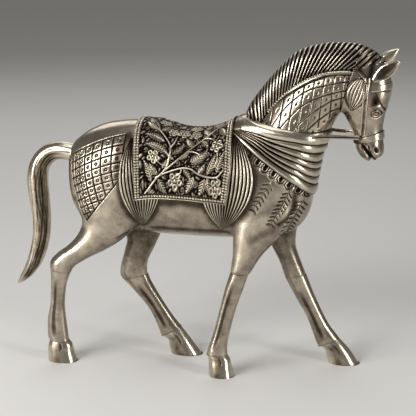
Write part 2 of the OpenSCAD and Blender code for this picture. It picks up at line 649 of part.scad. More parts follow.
// Girth fans: flutes that leave the panel's edge and gather to a point below it.
rear_fan_edge = [[-57.4, 216], [-57.2, 198], [-56.4, 180], [-54.5, 167],
                 [-50, 162.4], [-41, 163.6], [-32.5, 165]];
rear_fan_outer = [-80, 172];
rear_fan_inner = [-37, 147];
rear_fan_tip = [-46.5, 139];
front_fan_edge = [[35.4, 224], [37.2, 205], [37.4, 186], [36.3, 171],
                  [32, 161.4], [22, 162.7], [12.5, 164.1]];
front_fan_outer = [77, 178];
front_fan_inner = [18, 147];
front_fan_tip = [27.5, 139];
fan_tip_half = 1.6;
fan_sweep = 0.7;
function fan_place(edge, outer, inner, tip, across, down) =
    let (a = curve(edge, across * (len(edge) - 1)), c = mix(outer, inner, pow(across, fan_sweep)),
         b = tip + (inner[0] > outer[0] ? 1 : -1) * [fan_tip_half * (2 * across - 1), 0])
    mix(mix(a, c, down), mix(c, b, down), down);
function fan_grid(edge, outer, inner, tip, raised, rows = 5) =
    let (cols = 2 * fan_flutes)
    [for (i = [0:rows]) [for (j = [0:cols])
        trunk_skin(fan_place(edge, outer, inner, tip, j / cols, i / rows),
                   raised ? seat_gap + fan_t + (j % 2 == 1 ? fan_flute_h : 0) : -sunk)]];
module girth_fan(edge, outer, inner, tip, side) {
    outside = fan_grid(edge, outer, inner, tip, true);
    inside = fan_grid(edge, outer, inner, tip, false);
    color(dark) seated(side)
        if (outer[0] > inner[0]) sheet([for (r = outside) flipped(r)], [for (r = inside) flipped(r)]);
        else sheet(outside, inside);
}
module rear_girth_fan(side) {
    girth_fan(rear_fan_edge, rear_fan_outer, rear_fan_inner, rear_fan_tip, side);
}
module front_girth_fan(side) {
    girth_fan(front_fan_edge, front_fan_outer, front_fan_inner, front_fan_tip, side);
}

// Breast drape: pleats that fan from the withers and meet at the chest.
drape_low = 14.1;
drape_high = seat - 0.15;
drape_first_angle = 22;
hem_share = 0.84;
hem_swell = 0.6;
function drape_grid(raised, cols = 9) =
    let (rows = 2 * drape_pleats)
    [for (i = [0:rows]) [for (j = [0:cols])
        let (angle = drape_first_angle + (180 - drape_first_angle) * j / cols, share = i / rows,
             swell = share > hem_share ? hem_swell : i % 2,
             grow = raised ? seat_gap + drape_t + pleat_h * swell : -sunk)
        spaced(trunk_point(mix(drape_low, drape_high, share), angle, grow), seat_gap / 2)]];
module breast_drape(side) {
    color(bright) seated(side)
        sheet([for (r = drape_grid(true)) flipped(r)], [for (r = drape_grid(false)) flipped(r)]);
}

// Bridle straps lie on the skin of the head.
strap_gap = 0.25;
function head_skin(p, grow) = skin(head_line, head_square, p, grow);
noseband_rows = [7.35, 7.5, 8, 8.15];
// Closed band: out along the outer rings and back along the inner ones.
module tube_band(outer, inner) {
    rings = concat(outer, flipped(inner));
    m = len(rings[0]);
    n = len(rings);
    polyhedron([for (r = rings) each r],
        [for (i = [0:n - 1], j = [0:m - 1])
            let (next = (i + 1) % n, a = i * m + j, b = i * m + (j + 1) % m,
                 c = next * m + j, d = next * m + (j + 1) % m)
            each [[a, b, c], [b, d, c]]], convexity = 6);
}
module noseband() {
    color(bright) tube_band([for (u = noseband_rows) head_ring(u, strap_gap + strap_t)],
                            [for (u = noseband_rows) head_ring(u, strap_gap)]);
}
// Browband: its ends on the cheeks, and how much its middle stands above them.
brow_rear = [157.5, 268.5];
brow_rise = 1.7;
function face_x(z, low = 0, high = len(head_line) - 1, steps = 14) =
    let (mid = (low + high) / 2, s = curve(head_line, mid))
    steps == 0 ? s[2] : (s[3] > z ? face_x(z, mid, high, steps - 1) : face_x(z, low, mid, steps - 1));
function brow_half(grow, row, n = 6) =
    [for (k = [0:n])
        let (z = brow_rear[1] + strap_w * row + brow_rise * k / n,
             x = mix(brow_rear[0], face_x(z), sin(90 * k / n)))
        head_skin([x, z], grow)];
function brow_row(grow, row) =
    let (half = brow_half(grow, row), back = flipped(half))
    concat(half, [for (k = [1:len(back) - 1]) [back[k][0], -back[k][1], back[k][2]]]);
module browband() {
    rows = [0.5, -0.5];
    color(bright) sheet([for (r = rows) brow_row(strap_gap + strap_t, r)],
                        [for (r = rows) brow_row(strap_gap, r)]);
}
cheek_top = [153.5, 288];
cheek_foot = [151, 226.8];
module cheek_strap(side) {
    function row(f, grow) = [for (k = [-0.5, 0.5])
        head_skin(mix(cheek_top, cheek_foot, f) + [strap_w * k, 0], grow)];
    steps = 8;
    color(bright) on_side(side) sheet([for (i = [0:steps]) row(i / steps, strap_gap + strap_t)],
                                      [for (i = [0:steps]) row(i / steps, strap_gap)]);
}

// Reins: rigid bars from the drape's hem to the noseband.
rein_route = [[106.5, 22.6, 224.7], [116, 19, 225], [127, 15.4, 224.9], [138, 13.2, 224.7],
              [147.5, 13, 224.6]];
rein_sides = 8;
function rein_ring(p) =
    [for (k = [0.5:rein_sides])
        let (a = 360 * k / rein_sides) p + [0, -rein_t / 2 * cos(a), rein_h / 2 * sin(a)]];
module rein(side) {
    color(bright) on_side(side)
        loft([for (i = [0:2 * (len(rein_route) - 1)]) rein_ring(curve(rein_route, i / 2))]);
}

module seam_dowels() {
    color(dark) at_dowels() cylinder(d = dowel_d, h = dowel_l, center = true);
}

body_right();
body_left();
neck();
mane();
head();
ear_right();
ear_left();
cannon(fore_right, "right");  // fore_cannon_right
cannon(fore_left, "left");  // fore_cannon_left
cannon(hind_right, "right");  // hind_cannon_right
cannon(hind_left, "left");  // hind_cannon_left
hoof(fore_right, "right");  // fore_hoof_right
hoof(fore_left, "left");  // fore_hoof_left
hoof(hind_right, "right");  // hind_hoof_right
hoof(hind_left, "left");  // hind_hoof_left
tail();
saddle_panel("right");  // saddle_panel_right
saddle_panel("left");  // saddle_panel_left
front_girth_fan("right");  // front_girth_fan_right
front_girth_fan("left");  // front_girth_fan_left
rear_girth_fan("right");  // rear_girth_fan_right
rear_girth_fan("left");  // rear_girth_fan_left
breast_drape("right");  // breast_drape_right
breast_drape("left");  // breast_drape_left
rein("right");  // rein_right
rein("left");  // rein_left
browband();
noseband();
cheek_strap("right");  // cheek_strap_right
cheek_strap("left");  // cheek_strap_left
seam_dowels();
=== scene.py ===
# %% [markdown]
# # A chased aluminium horse
# The statue is cast in aluminium, darkened all over with black oxide and then buffed, so the high places are
# bright and the recesses stay dark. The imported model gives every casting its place. Here each one gets the
# smooth skin, the chased pattern and the finish of the real statue. Sizes are in millimetres until a mesh is
# made.

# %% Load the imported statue
import math

import bmesh
import bpy
import numpy as np
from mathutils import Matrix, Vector
from mathutils.bvhtree import BVHTree


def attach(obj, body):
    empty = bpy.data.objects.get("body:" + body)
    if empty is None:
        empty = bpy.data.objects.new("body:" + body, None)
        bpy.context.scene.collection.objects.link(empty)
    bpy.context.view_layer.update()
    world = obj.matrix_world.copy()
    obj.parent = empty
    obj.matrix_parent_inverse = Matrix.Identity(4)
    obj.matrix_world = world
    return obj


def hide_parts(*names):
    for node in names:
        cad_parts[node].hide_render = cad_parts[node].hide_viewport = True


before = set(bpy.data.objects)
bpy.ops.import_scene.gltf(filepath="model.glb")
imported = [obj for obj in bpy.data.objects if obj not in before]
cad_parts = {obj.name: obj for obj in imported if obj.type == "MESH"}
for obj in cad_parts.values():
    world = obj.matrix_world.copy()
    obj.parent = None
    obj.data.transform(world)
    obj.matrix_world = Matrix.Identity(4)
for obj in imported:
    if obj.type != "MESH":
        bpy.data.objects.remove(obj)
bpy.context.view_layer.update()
MM = 0.001
print("castings loaded:", len(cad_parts))

# %% [markdown]
# ## Curves through stations
# A pattern maker describes a carved form by sections along it. Each section here has two ends in side view,
# under and over, and a half width. A cubic curve runs through the sections, so a few of them give one smooth
# casting.

# %% Curves and oval sections


def curve(stations, u):
    """Cubic curve through rows of numbers, at positions counted in rows."""
    rows = np.asarray(stations, float)
    u = np.asarray(u, float)
    last = len(rows) - 1
    i = np.clip(np.floor(u).astype(int), 0, last - 1)
    f = (u - i)[..., None]
    a, b = rows[i], rows[i + 1]
    lead = (b - rows[np.maximum(i - 1, 0)]) / np.where(i > 0, 2, 1)[..., None]
    trail = (rows[np.minimum(i + 2, last)] - a) / np.where(i + 2 <= last, 2, 1)[..., None]
    return (a * (1 + 2 * f) * (1 - f) ** 2 + lead * f * (1 - f) ** 2
            + b * f * f * (3 - 2 * f) - trail * f * f * (1 - f))


def sampled(rows, n):
    """The curve through rows at n places, evenly from its first row to its last."""
    return curve(rows, np.linspace(0, len(rows) - 1, n))


def dense(rows, per=8):
    """The curve through rows, in equal steps from each row to the next."""
    return sampled(rows, (len(rows) - 1) * per + 1)


def power(v, e):
    return np.sign(v) * np.abs(v) ** e


def oval(s, angle, square, grow=0.0, y=0.0):
    """Point of a section: angle 0 is its over end, pi its under end, and the left side is between."""
    under, over = s[..., 0:2], s[..., 2:4]
    half = (over - under) / 2
    reach = np.linalg.norm(half, axis=-1)
    way = half / reach[..., None]
    mid = (under + over) / 2
    along = (reach + grow) * power(np.cos(angle), square)
    lean = s[..., 5] if s.shape[-1] > 5 else 0.0
    across = (s[..., 4] + grow) * power(np.sin(angle), square) * (1 - lean * np.cos(angle))
    return np.stack([mid[..., 0] + way[..., 0] * along, y + across, mid[..., 1] + way[..., 1] * along], -1)


print("middle of 0 and 4:", curve([[0], [4]], 0.5).tolist())

# %% [markdown]
# ## The castings' stations
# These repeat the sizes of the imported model: trunk, neck, head, four limbs and tail. Each row has under x,
# under z, over x, over z and half width, and for the trunk and head how far the width leans towards the
# underside. A neck row ends with the half width of its upper edge. A tail row has x, z, depth and half width.

# %% Stations of trunk, neck and head
trunk = np.array([
    [-121.5, 164, -122, 192, 10.5, 0], [-118.5, 149, -120.5, 204, 20.5, 0], [-112, 138, -114, 211.5, 27.5, 0],
    [-101, 131.5, -102.5, 219.5, 32.5, 0], [-84, 127.5, -86, 226, 36, 0], [-60, 126, -61, 229.4, 37, 0],
    [-38, 125, -38, 229, 37, 0], [-14, 124.8, -13, 223.3, 36.5, 0], [8, 124.8, 9, 224, 36.5, 0],
    [30, 125.3, 26, 229.5, 36, 0], [56, 126.5, 32, 233, 36, 0.02], [78, 130, 34.5, 234.6, 35, 0.05],
    [93, 139, 36, 235.6, 34, 0.08], [101.5, 152, 37, 236.2, 32.5, 0.1], [105, 168, 37.8, 236.8, 31, 0.12],
    [107, 184, 38.6, 237.3, 29, 0.14], [110, 200, 39.4, 237.8, 27, 0.16], [112, 213, 40.2, 238.4, 26, 0.18],
    [115, 221.6, 41, 239, 25, 0.2]])
TRUNK_SQUARE = 0.88
head_line = np.array([
    [129.3, 244.3, 146.8, 303.5, 16.6, 0.12], [130.5, 243.8, 157, 299.2, 16.4, 0.06],
    [131.8, 242.3, 166, 291, 16, 0], [133.3, 240, 171, 280, 16, -0.04], [135, 237, 173, 268, 15.5, -0.06],
    [137.2, 233, 171.3, 256.5, 14.2, -0.06], [139.5, 228.5, 168.2, 245, 12.4, -0.04],
    [141, 223.5, 166.2, 233.5, 11.4, 0], [142, 218.5, 166.5, 223.8, 11.2, 0],
    [143.2, 212.5, 167.6, 214.5, 11, 0], [146.8, 206.4, 166.8, 208, 9.8, 0],
    [151, 203.6, 162.5, 204.8, 7, 0]])
HEAD_SQUARE = 0.95
neck_line = np.array([
    [116.5, 221.2, 59, 234.8, 24.7, 14], [120.3, 230, 66, 245.5, 23, 13.8], [123.8, 236.5, 75, 256, 21, 13.4],
    [126, 240.5, 86, 266, 19.5, 13], [127.6, 243, 100.5, 275.5, 18.2, 12.6],
    [128.5, 244, 115, 281, 17.5, 12.2], [129, 244.3, 128, 283, 17, 11.8],
    [129.3, 244.3, 140.7, 283, 16.6, 11.5]])
print("trunk", len(trunk), "neck", len(neck_line), "head", len(head_line), "stations")

# %% Stations of limbs and tail
SHOULDER_Z = 160.0
LIMB_SQUARE = 0.95
# Each limb has three stages: upper limb, lower leg and hoof.
fore_right = dict(side=-1, top=21.5, track=29.5, stages=[
    [[50, 192, 80, 194, 7], [43, 172, 88, 176, 11.5], [37.5, 150, 92, 154, 13], [36.4, 131, 80, 134, 11.8],
     [36.5, 115, 64, 115.5, 10], [34.3, 97.4, 52.4, 96.6, 8.4]],
    [[30.4, 84, 47.6, 85, 7.2], [25.5, 64, 40, 62.5, 6.3], [20.5, 43, 35.2, 43.5, 6.3], [15, 26, 32.6, 29, 7],
     [13.2, 19.5, 33, 18.5, 7.4]],
    [[15.5, 14, 35.6, 15.5, 8.2], [15.7, 8, 37.2, 9, 9.8], [16.4, -2, 39.8, -2, 11.4]]])
fore_left = dict(side=1, top=21.5, track=33.0, stages=[
    [[52, 192, 82, 194, 7], [47, 172, 92, 176, 11.5], [46, 150, 98, 154, 12.5], [53, 129, 88, 136, 11.4],
     [62.5, 112, 85, 116, 9.8], [69.5, 98, 88.5, 102, 8.7], [75.8, 79.5, 95.4, 83.8, 8]],
    [[84.5, 64, 102.2, 67, 6.9], [95.5, 44, 110.5, 48.5, 6.3], [101.5, 29, 117, 36.5, 6.6],
     [104.5, 20.5, 123, 28.5, 7.2], [107.2, 14.5, 126.3, 24.2, 7.4]],
    [[113, 12.5, 133, 17, 8.4], [114.6, 7, 139, 9.5, 9.8], [117, -2, 146.4, -2, 11.4]]])
hind_right = dict(side=-1, top=22.0, track=24.0, stages=[
    [[-102, 198, -68, 203, 8], [-112.5, 175, -57, 180, 13], [-112, 152, -51.5, 154, 14.4],
     [-106.5, 137, -55.5, 135, 13], [-111.5, 123, -68, 121.5, 11.2], [-121, 112.5, -84, 110.5, 9.8],
     [-131.5, 104.5, -101, 101.5, 8.7], [-138.3, 96.5, -115, 92, 8], [-138.6, 87, -119.3, 84.5, 7.5]],
    [[-138.1, 77, -123.3, 74, 6.5], [-139.1, 56, -125.4, 57, 6], [-142, 40, -124.5, 41.6, 6.5],
     [-142.3, 25, -122.4, 24.5, 7.2], [-140.6, 19, -121.6, 19.4, 7.4]],
    [[-142.3, 14, -118.6, 16, 8.6], [-142.2, 8, -117, 9, 9.8], [-141.8, -2, -113.4, -2, 11.6]]])
hind_left = dict(side=1, top=19.0, track=24.0, stages=[
    [[-102, 198, -66, 203, 8], [-110, 175, -48, 179, 13], [-104, 152, -39, 153, 14],
     [-88, 131, -37.5, 133, 12], [-77, 113, -43.5, 118, 10.4], [-79.1, 100, -50.1, 103.5, 9.3],
     [-82.9, 86, -56.3, 90.5, 8.4], [-84.4, 75.5, -57.6, 80.5, 7.9], [-80.6, 68.5, -56.4, 75.5, 7.5]],
    [[-70.5, 59.5, -53.4, 68.6, 6.8], [-57.3, 44.5, -44.5, 53.5, 6.2], [-50.5, 32.5, -34.5, 38.5, 6.5],
     [-46.4, 22.5, -27.5, 29.5, 7.2], [-43.9, 15.2, -24.6, 26.6, 7.4]],
    [[-37.4, 12.5, -17.5, 17, 8.4], [-36.4, 7, -11.8, 9.5, 9.8], [-34.4, -2, -3.6, -2, 11.4]]])
limbs = dict(fore_right=fore_right, fore_left=fore_left, hind_right=hind_right, hind_left=hind_left)
tail_line = np.array([
    [-118.5, 195.6, 16.6, 8.3], [-135.5, 197, 17, 8.5], [-147.5, 192, 18, 8.8], [-155.5, 181, 19, 9],
    [-157.5, 166, 20, 9], [-156, 148, 19, 8.8], [-154.5, 130, 17.5, 8.2], [-155.5, 112, 16.5, 7.6],
    [-160.5, 94, 15, 6.8], [-167.5, 80, 11.5, 5.4], [-174.5, 71, 7, 3.6], [-179.8, 65.5, 2.4, 1.4]])
print("limbs:", ", ".join(limbs))

# %% [markdown]
# ## Oxidised and buffed aluminium
# Sand cast aluminium is dipped to turn it black and then buffed with a soft wheel. The wheel reaches only the
# high places, so each vertex carries a number, patina, from 0 on a buffed face to 1 in a recess that kept its
# oxide. The colour, the roughness and the fine grain of the sand mould follow from it.

# %% Metal finishes
# Moulding sand is about 0.3 mm across, too fine to show here, so its grain is drawn coarser.
GRAIN_MM = 0.9
GRAIN_DEEP = 0.15
GRAIN = 0.25
CLOUD_MID = 0.44
SPECKLE = 0.22


def linear(code):
    """Linear colour of an sRGB hex value."""
    parts = [int(code[k:k + 2], 16) / 255 for k in (1, 3, 5)]
    return [p / 12.92 if p <= 0.04045 else ((p + 0.055) / 1.055) ** 2.4 for p in parts] + [1.0]


def add_node(tree, kind, inputs=None, **settings):
    """Adds a node, with its settings and with values or links on its inputs."""
    made = tree.nodes.new(kind)
    for key, value in settings.items():
        setattr(made, key, value)
    for socket, value in (inputs or {}).items():
        if isinstance(value, bpy.types.NodeSocket):
            tree.links.new(value, made.inputs[socket])
        else:
            made.inputs[socket].default_value = value
    return made


def cast_aluminium(name, stops, smooth, rough, smudge, smudge_mm=10.0):
    """Aluminium from buffed to black: stops are positions and colours along the patina."""
    material = bpy.data.materials.new(name)
    material.use_nodes = True
    tree = material.node_tree
    tree.nodes.clear()
    spot = add_node(tree, "ShaderNodeTexCoord").outputs["Object"]
    kept = add_node(tree, "ShaderNodeAttribute", attribute_name="patina").outputs["Fac"]
    cloud, speck = (add_node(tree, "ShaderNodeTexNoise", {
        "Vector": spot, "Scale": 1 / (size * MM), "Detail": detail, "Roughness": fall}).outputs["Fac"]
        for size, detail, fall in ((smudge_mm, 4.0, 0.6), (GRAIN_MM, 2.0, 0.5)))
    low = add_node(tree, "ShaderNodeMath", {0: cloud, 1: CLOUD_MID}, operation="SUBTRACT")
    fine = add_node(tree, "ShaderNodeMath", {0: speck, 1: 0.5}, operation="SUBTRACT")
    blur = add_node(tree, "ShaderNodeMath", {0: low.outputs[0], 1: smudge, 2: kept}, operation="MULTIPLY_ADD")
    dark = add_node(tree, "ShaderNodeMath", {0: fine.outputs[0], 1: SPECKLE, 2: blur.outputs[0]},
                    operation="MULTIPLY_ADD", use_clamp=True).outputs[0]
    ramp = add_node(tree, "ShaderNodeValToRGB", {"Fac": dark})
    first, last = ramp.color_ramp.elements
    first.color, last.color = linear(stops[0][1]), linear(stops[-1][1])
    for position, code in stops[1:-1]:
        ramp.color_ramp.elements.new(position).color = linear(code)
    dull = add_node(tree, "ShaderNodeMapRange", {"Value": dark, "To Min": smooth, "To Max": rough})
    bump = add_node(tree, "ShaderNodeBump", {
        "Height": speck, "Strength": GRAIN, "Distance": GRAIN_DEEP * MM})
    shader = add_node(tree, "ShaderNodeBsdfPrincipled", {
        "Base Color": ramp.outputs["Color"], "Metallic": 1.0,
        "Roughness": dull.outputs["Result"], "Normal": bump.outputs["Normal"]})
    add_node(tree, "ShaderNodeOutputMaterial", {"Surface": shader.outputs["BSDF"]})
    return material


finishes = {
    # Wheel buffed over a warm oxide: champagne grey with soft brown clouds.
    "antique_casting": cast_aluminium("cast_aluminium_antiqued", [
        (0, "#bfb4a1"), (0.25, "#93877a"), (0.55, "#52483d"), (1, "#14110e")], 0.2, 0.5, 0.7),
    # Buffed longer: brighter and smoother, as on hooves, ears and straps.
    "polished_casting": cast_aluminium("cast_aluminium_buffed", [
        (0, "#d2c8b6"), (0.3, "#a09482"), (0.6, "#54493e"), (1, "#14110e")], 0.2, 0.48, 0.75),
    # Chased deep and left black in the ground: bright crests over a dark floor.
    "oxidised_relief": cast_aluminium("cast_aluminium_oxidised", [
        (0, "#cfc5b3"), (0.3, "#998d7c"), (0.6, "#463d33"), (1, "#120f0c")], 0.26, 0.58, 0.5, 9.0)}
print("finishes:", ", ".join(m.name for m in finishes.values()))

# %% [markdown]
# ## Meshes from rings and sheets
# Two shapes make nearly every casting: a loft, which is a stack of closed rings, and a sheet, which has a
# fine outer face, a coarse back and a rim that joins them. A finished piece is closed and its faces point
# outwards.

# %% Lofts and sheets


def grid_faces(n, m, closed):
    """Quads between n rows of m points. Closed joins the ends of each row."""
    i, j = np.meshgrid(np.arange(n - 1), np.arange(m if closed else m - 1), indexing="ij")
    a = i * m + j
    b = i * m + (j + 1) % m
    return np.stack([a, b, b + m, a + m], -1).reshape(-1, 4)


def loft(rings):
    """Closed skin through rings, with a pole at each end."""
    n, m = rings.shape[:2]
    points = np.concatenate([rings.reshape(-1, 3), rings[0].mean(0)[None], rings[-1].mean(0)[None]])
    j = np.arange(m)
    after = (j + 1) % m
    end = (n - 1) * m
    faces = grid_faces(n, m, True).tolist()
    faces += np.stack([after, j, np.full(m, n * m)], -1).tolist()
    faces += np.stack([end + j, end + after, np.full(m, n * m + 1)], -1).tolist()
    return points, faces


def sheet(outer, inner, step):
    """Closed sheet: every point of the outer grid, every step-th point of the inner one."""
    inner = inner[::step, ::step]
    fine, back = (np.arange(g.size // 3).reshape(g.shape[:2]) for g in (outer, inner))
    back += fine.size
    faces = grid_faces(*fine.shape, False).tolist()
    faces += (grid_faces(*back.shape, False)[:, ::-1] + fine.size).tolist()
    for edge, under in ((fine[0], back[0]), (fine[-1], back[-1]), (fine[:, 0], back[:, 0]),
                        (fine[:, -1], back[:, -1])):
        for k in range(len(under) - 1):
            faces.append(edge[k * step:(k + 1) * step + 1].tolist() + under[[k + 1, k]].tolist())
    return np.concatenate([outer.reshape(-1, 3), inner.reshape(-1, 3)]), faces


print("quads between 3 rows of 4 points:", len(grid_faces(3, 4, False)))

# %% Finished pieces
DOUBLES = 0.002


def add_object(name, data):
    made = bpy.data.objects.new(name, data)
    bpy.context.scene.collection.objects.link(made)
    return made


def modified(holder):
    """Mesh of an object after its modifiers. The object goes."""
    made = bpy.data.meshes.new_from_object(holder.evaluated_get(bpy.context.evaluated_depsgraph_get()))
    holder.modifiers.clear()
    bpy.data.objects.remove(holder)
    return made


def as_mesh(name, points, faces, edges=()):
    mesh = bpy.data.meshes.new(name)
    mesh.from_pydata((np.asarray(points) * MM).tolist(), edges, faces)
    mesh.update()
    return mesh


def unit(v):
    """Keeps values between 0 and 1."""
    return np.clip(v, 0, 1)


def set_patina(mesh, values):
    """Patina of the first points. Points after them are hidden and stay black."""
    full = np.ones(len(mesh.vertices))
    full[:len(values)] = unit(values)
    mesh.attributes.new("patina", "FLOAT", "POINT").data.foreach_set("value", full)


def finish_piece(name, mesh, slot, node=None, sharp=50):
    """Closes doubles, turns faces outwards, shades the mesh and rides it on the statue."""
    work = bmesh.new()
    work.from_mesh(mesh)
    bmesh.ops.remove_doubles(work, verts=work.verts, dist=DOUBLES * MM)
    bmesh.ops.recalc_face_normals(work, faces=work.faces)
    work.to_mesh(mesh)
    work.free()
    mesh.shade_smooth()
    mesh.set_sharp_from_angle(angle=math.radians(sharp))
    mesh.materials.clear()
    mesh.materials.append(finishes[slot])
    piece = add_object(name, mesh)
    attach(piece, "root")
    if node:
        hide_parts(node)
    mesh.calc_loop_triangles()
    print(name, len(mesh.loop_triangles), "triangles")


def cast_piece(name, shape, patina, slot, node, sharp=60):
    """A finished piece from points and faces."""
    mesh = as_mesh(name, *shape)
    set_patina(mesh, patina.ravel())
    finish_piece(name, mesh, slot, node, sharp)


print("points closer than", DOUBLES, "mm are joined")

# %% [markdown]
# ## One skin for body and neck
# On the real statue the limbs flow into the trunk. Joining the lofts as solids would leave sharp creases, so
# they are fused on a fine voxel grid, and the creases are then relaxed until they read as muscle. The skin is
# cut into the two body halves and the neck only at the end.

# %% Lofts of trunk, neck and upper limbs
SKIN_STEPS = 200
TRUNK_SIDES = 112
NECK_STEPS = 28
NECK_ROOT = np.array([2.9, 0, 12.0])
# The right side is the left side turned over.
SIDES = {"right": np.array([1.0, -1.0, 1.0]), "left": np.ones(3)}


def circle(n):
    return np.linspace(0, 2 * np.pi, n, endpoint=False)[None, :]


def mirrored(points):
    return points * SIDES["right"]


def leg_y(z, limb):
    return limb["track"] + (limb["top"] - limb["track"]) * unit(z / SHOULDER_Z)


def limb_rings(stations, limb, per=8, sides=64):
    """Rings of one stage of a limb, from its shoulder or hip side."""
    s = dense(stations, per)[:, None, :]
    points = oval(s, circle(sides), LIMB_SQUARE, y=leg_y((s[..., 1] + s[..., 3]) / 2, limb))
    points[..., 1] *= limb["side"]
    return points


def neck_rings():
    s = dense(neck_line, 10)
    edge = np.arcsin(s[:, 5] / s[:, 4])[:, None]
    t = edge + (np.pi - edge) * np.linspace(0, 1, NECK_STEPS + 1)[None, :]
    f = (1 + np.cos(t)) / (1 + np.cos(edge))
    x = s[:, 0:1] + (s[:, 2:3] - s[:, 0:1]) * f
    z = s[:, 1:2] + (s[:, 3:4] - s[:, 1:2]) * f
    left = np.stack([x, s[:, 4:5] * np.sin(t), z], -1)
    return np.concatenate([left, mirrored(left[:, -2::-1])], 1)


trunk_rows = sampled(trunk, SKIN_STEPS)[:, None, :]
neck_shell = np.concatenate([neck_rings()[:1] - NECK_ROOT, neck_rings()])
shells = [loft(oval(trunk_rows, circle(TRUNK_SIDES), TRUNK_SQUARE)), loft(neck_shell)]
shells += [loft(limb_rings(limb["stages"][0], limb)) for limb in limbs.values()]
print("shells to fuse:", len(shells))

# %% Fuse the lofts on a voxel grid
BODY_VOXEL = 1.28
CREASE = 0.03
SMOOTHING = 6
CREASE_SPREAD = 7
CREASE_SMOOTHING = 45


def voxel_skin(parts):
    starts = np.cumsum([0] + [len(p) for p, _ in parts[:-1]])
    faces = [[k + start for k in face] for (_, fs), start in zip(parts, starts) for face in fs]
    holder = add_object("fuse", as_mesh("fuse", np.concatenate([p for p, _ in parts]), faces))
    fuse = holder.modifiers.new("fuse", "REMESH")
    fuse.mode = "VOXEL"
    fuse.voxel_size = BODY_VOXEL * MM
    return modified(holder)


def read(items, field, width=3, kind=float):
    flat = np.empty(len(items) * width, kind)
    items.foreach_get(field, flat)
    return flat.reshape(-1, width)


def coords(mesh):
    return read(mesh.vertices, "co") / MM


def set_coords(mesh, points):
    mesh.vertices.foreach_set("co", (points * MM).ravel())
    mesh.update()


def outward(mesh):
    return read(mesh.vertex_normals, "vector")


def edge_pairs(mesh):
    return read(mesh.edges, "vertices", 2, np.int32)


def around(values, pairs):
    """Mean of each vertex's neighbours."""
    a, b = pairs.T
    n = len(values)
    count = np.bincount(np.concatenate([a, b]), minlength=n)
    total = [np.bincount(a, c[b], n) + np.bincount(b, c[a], n) for c in values.reshape(n, -1).T]
    return (np.stack(total, 1) / count[:, None]).reshape(values.shape)


def relax(points, pairs, times, weight=0.5):
    for _ in range(times):
        points = points + weight * (around(points, pairs) - points)
    return points


def hollowness(mesh, pairs):
    """How far each vertex lies under the mean of its neighbours."""
    p = coords(mesh)
    return ((around(p, pairs) - p) * outward(mesh)).sum(1)


skin = voxel_skin(shells)
pairs = edge_pairs(skin)
set_coords(skin, relax(coords(skin), pairs, SMOOTHING))
crease = unit(hollowness(skin, pairs) / CREASE)
for _ in range(CREASE_SPREAD):
    crease = np.maximum(crease, around(crease, pairs))
set_coords(skin, relax(coords(skin), pairs, CREASE_SMOOTHING, 0.5 * unit(crease * 1.4)[:, None]))
print("skin vertices:", len(skin.vertices))

# %% [markdown]
# ## Chasing the skin
# The patterns on croup, neck and shoulder are cut with a chisel and ring punches, so they are grooves in the
# skin and not drawn lines. The skin is divided finely where a pattern lies, each vertex is pushed in by the
# depth of the cut there, and the same cut leaves its patina.

# %% Engraved lines
LINE_HALF = 0.55
LINE_DEPTH = 0.6


def route_distance(x, z, route):
    """Distance in side view from points to a run of straight pieces."""
    best = np.full(np.shape(x), 1e6)
    for (ax, az), (bx, bz) in zip(route[:-1], route[1:]):
        dx, dz = bx - ax, bz - az
        t = unit(((x - ax) * dx + (z - az) * dz) / (dx * dx + dz * dz))
        best = np.minimum(best, np.hypot(x - ax - t * dx, z - az - t * dz))
    return best


def cut(distance, half=LINE_HALF):
    """1 in the middle of a chiselled line, falling to 0 beside it."""
    return np.exp(-(distance / half) ** 2)


def from_line(v):
    return np.abs(v - np.round(v))


def in_cell(v):
    return v - np.floor(v) - 0.5


print("line half width", LINE_HALF, "mm, depth", LINE_DEPTH, "mm")

# %% [markdown]
# ### Croup
# A net of cells covers the croup, with columns that turn with the haunch and rows that rise to the saddle.
# Every cell has a ring punched in it.

# %% Croup net
croup_columns = np.array([-63, -74, -84.2, -93.2, -100.9, -106.8, -111.4, -115, -118])
croup_edge = [(-66.5, 179.2), (-97.5, 141.4)]
CROUP_TOP = 219.8
CROUP_ROW = 7.7
# The columns turn below a height, and the rows fall behind the saddle.
TURN_Z = 198
TURN = 0.0048
SADDLE_X = -64
ROW_FALL = (0.2, 0.004)
NET_X = (-116.4, -62.4)
NET_ROWS = (-0.08, 9.6)
# A height over the sloping lower edge, times this, is a distance from it.
EDGE_COS = 0.63
EDGE_HALF = 0.7
EDGE_OUT = -0.6
PUNCH_R = 1.15
PUNCH_HALF = 0.42
# A punch needs this much room over the edge and between columns.
PUNCH_OVER = 3.5
PUNCH_PITCH = 4.5


def within(v, ends):
    return (v > ends[0]) & (v < ends[1])


def croup_net(x, z):
    c = x - TURN * np.maximum(0, TURN_Z - z) ** 2
    back = np.maximum(SADDLE_X - x, 0)
    row = (CROUP_TOP - z - ROW_FALL[0] * back - ROW_FALL[1] * back ** 2) / CROUP_ROW
    steps = np.arange(len(croup_columns))
    col = np.interp(-c, -croup_columns, steps)
    pitch = np.interp(col, steps[:-1] + 0.5, -np.diff(croup_columns))
    (x0, z0), (x1, z1) = croup_edge
    over = z - z0 - (x - x0) * (z1 - z0) / (x1 - x0)
    inside = within(c, NET_X) & within(row, NET_ROWS) & (over > EDGE_OUT)
    lines = np.maximum.reduce([
        cut(from_line(col) * pitch), cut(from_line(row) * CROUP_ROW), cut(over * EDGE_COS, EDGE_HALF)])
    punch = cut(np.hypot(in_cell(col) * pitch, in_cell(row) * CROUP_ROW) - PUNCH_R, PUNCH_HALF)
    clear = (over > PUNCH_OVER) & (pitch > PUNCH_PITCH)
    return np.where(inside, np.maximum(lines, np.where(clear, punch, 0)), 0)


print("croup columns:", len(croup_columns) - 1)

# %% [markdown]
# ### Neck
# Upright lines cross lines that run beside the crest, again with a punch in each cell. A plain raised band
# follows the crest over them.

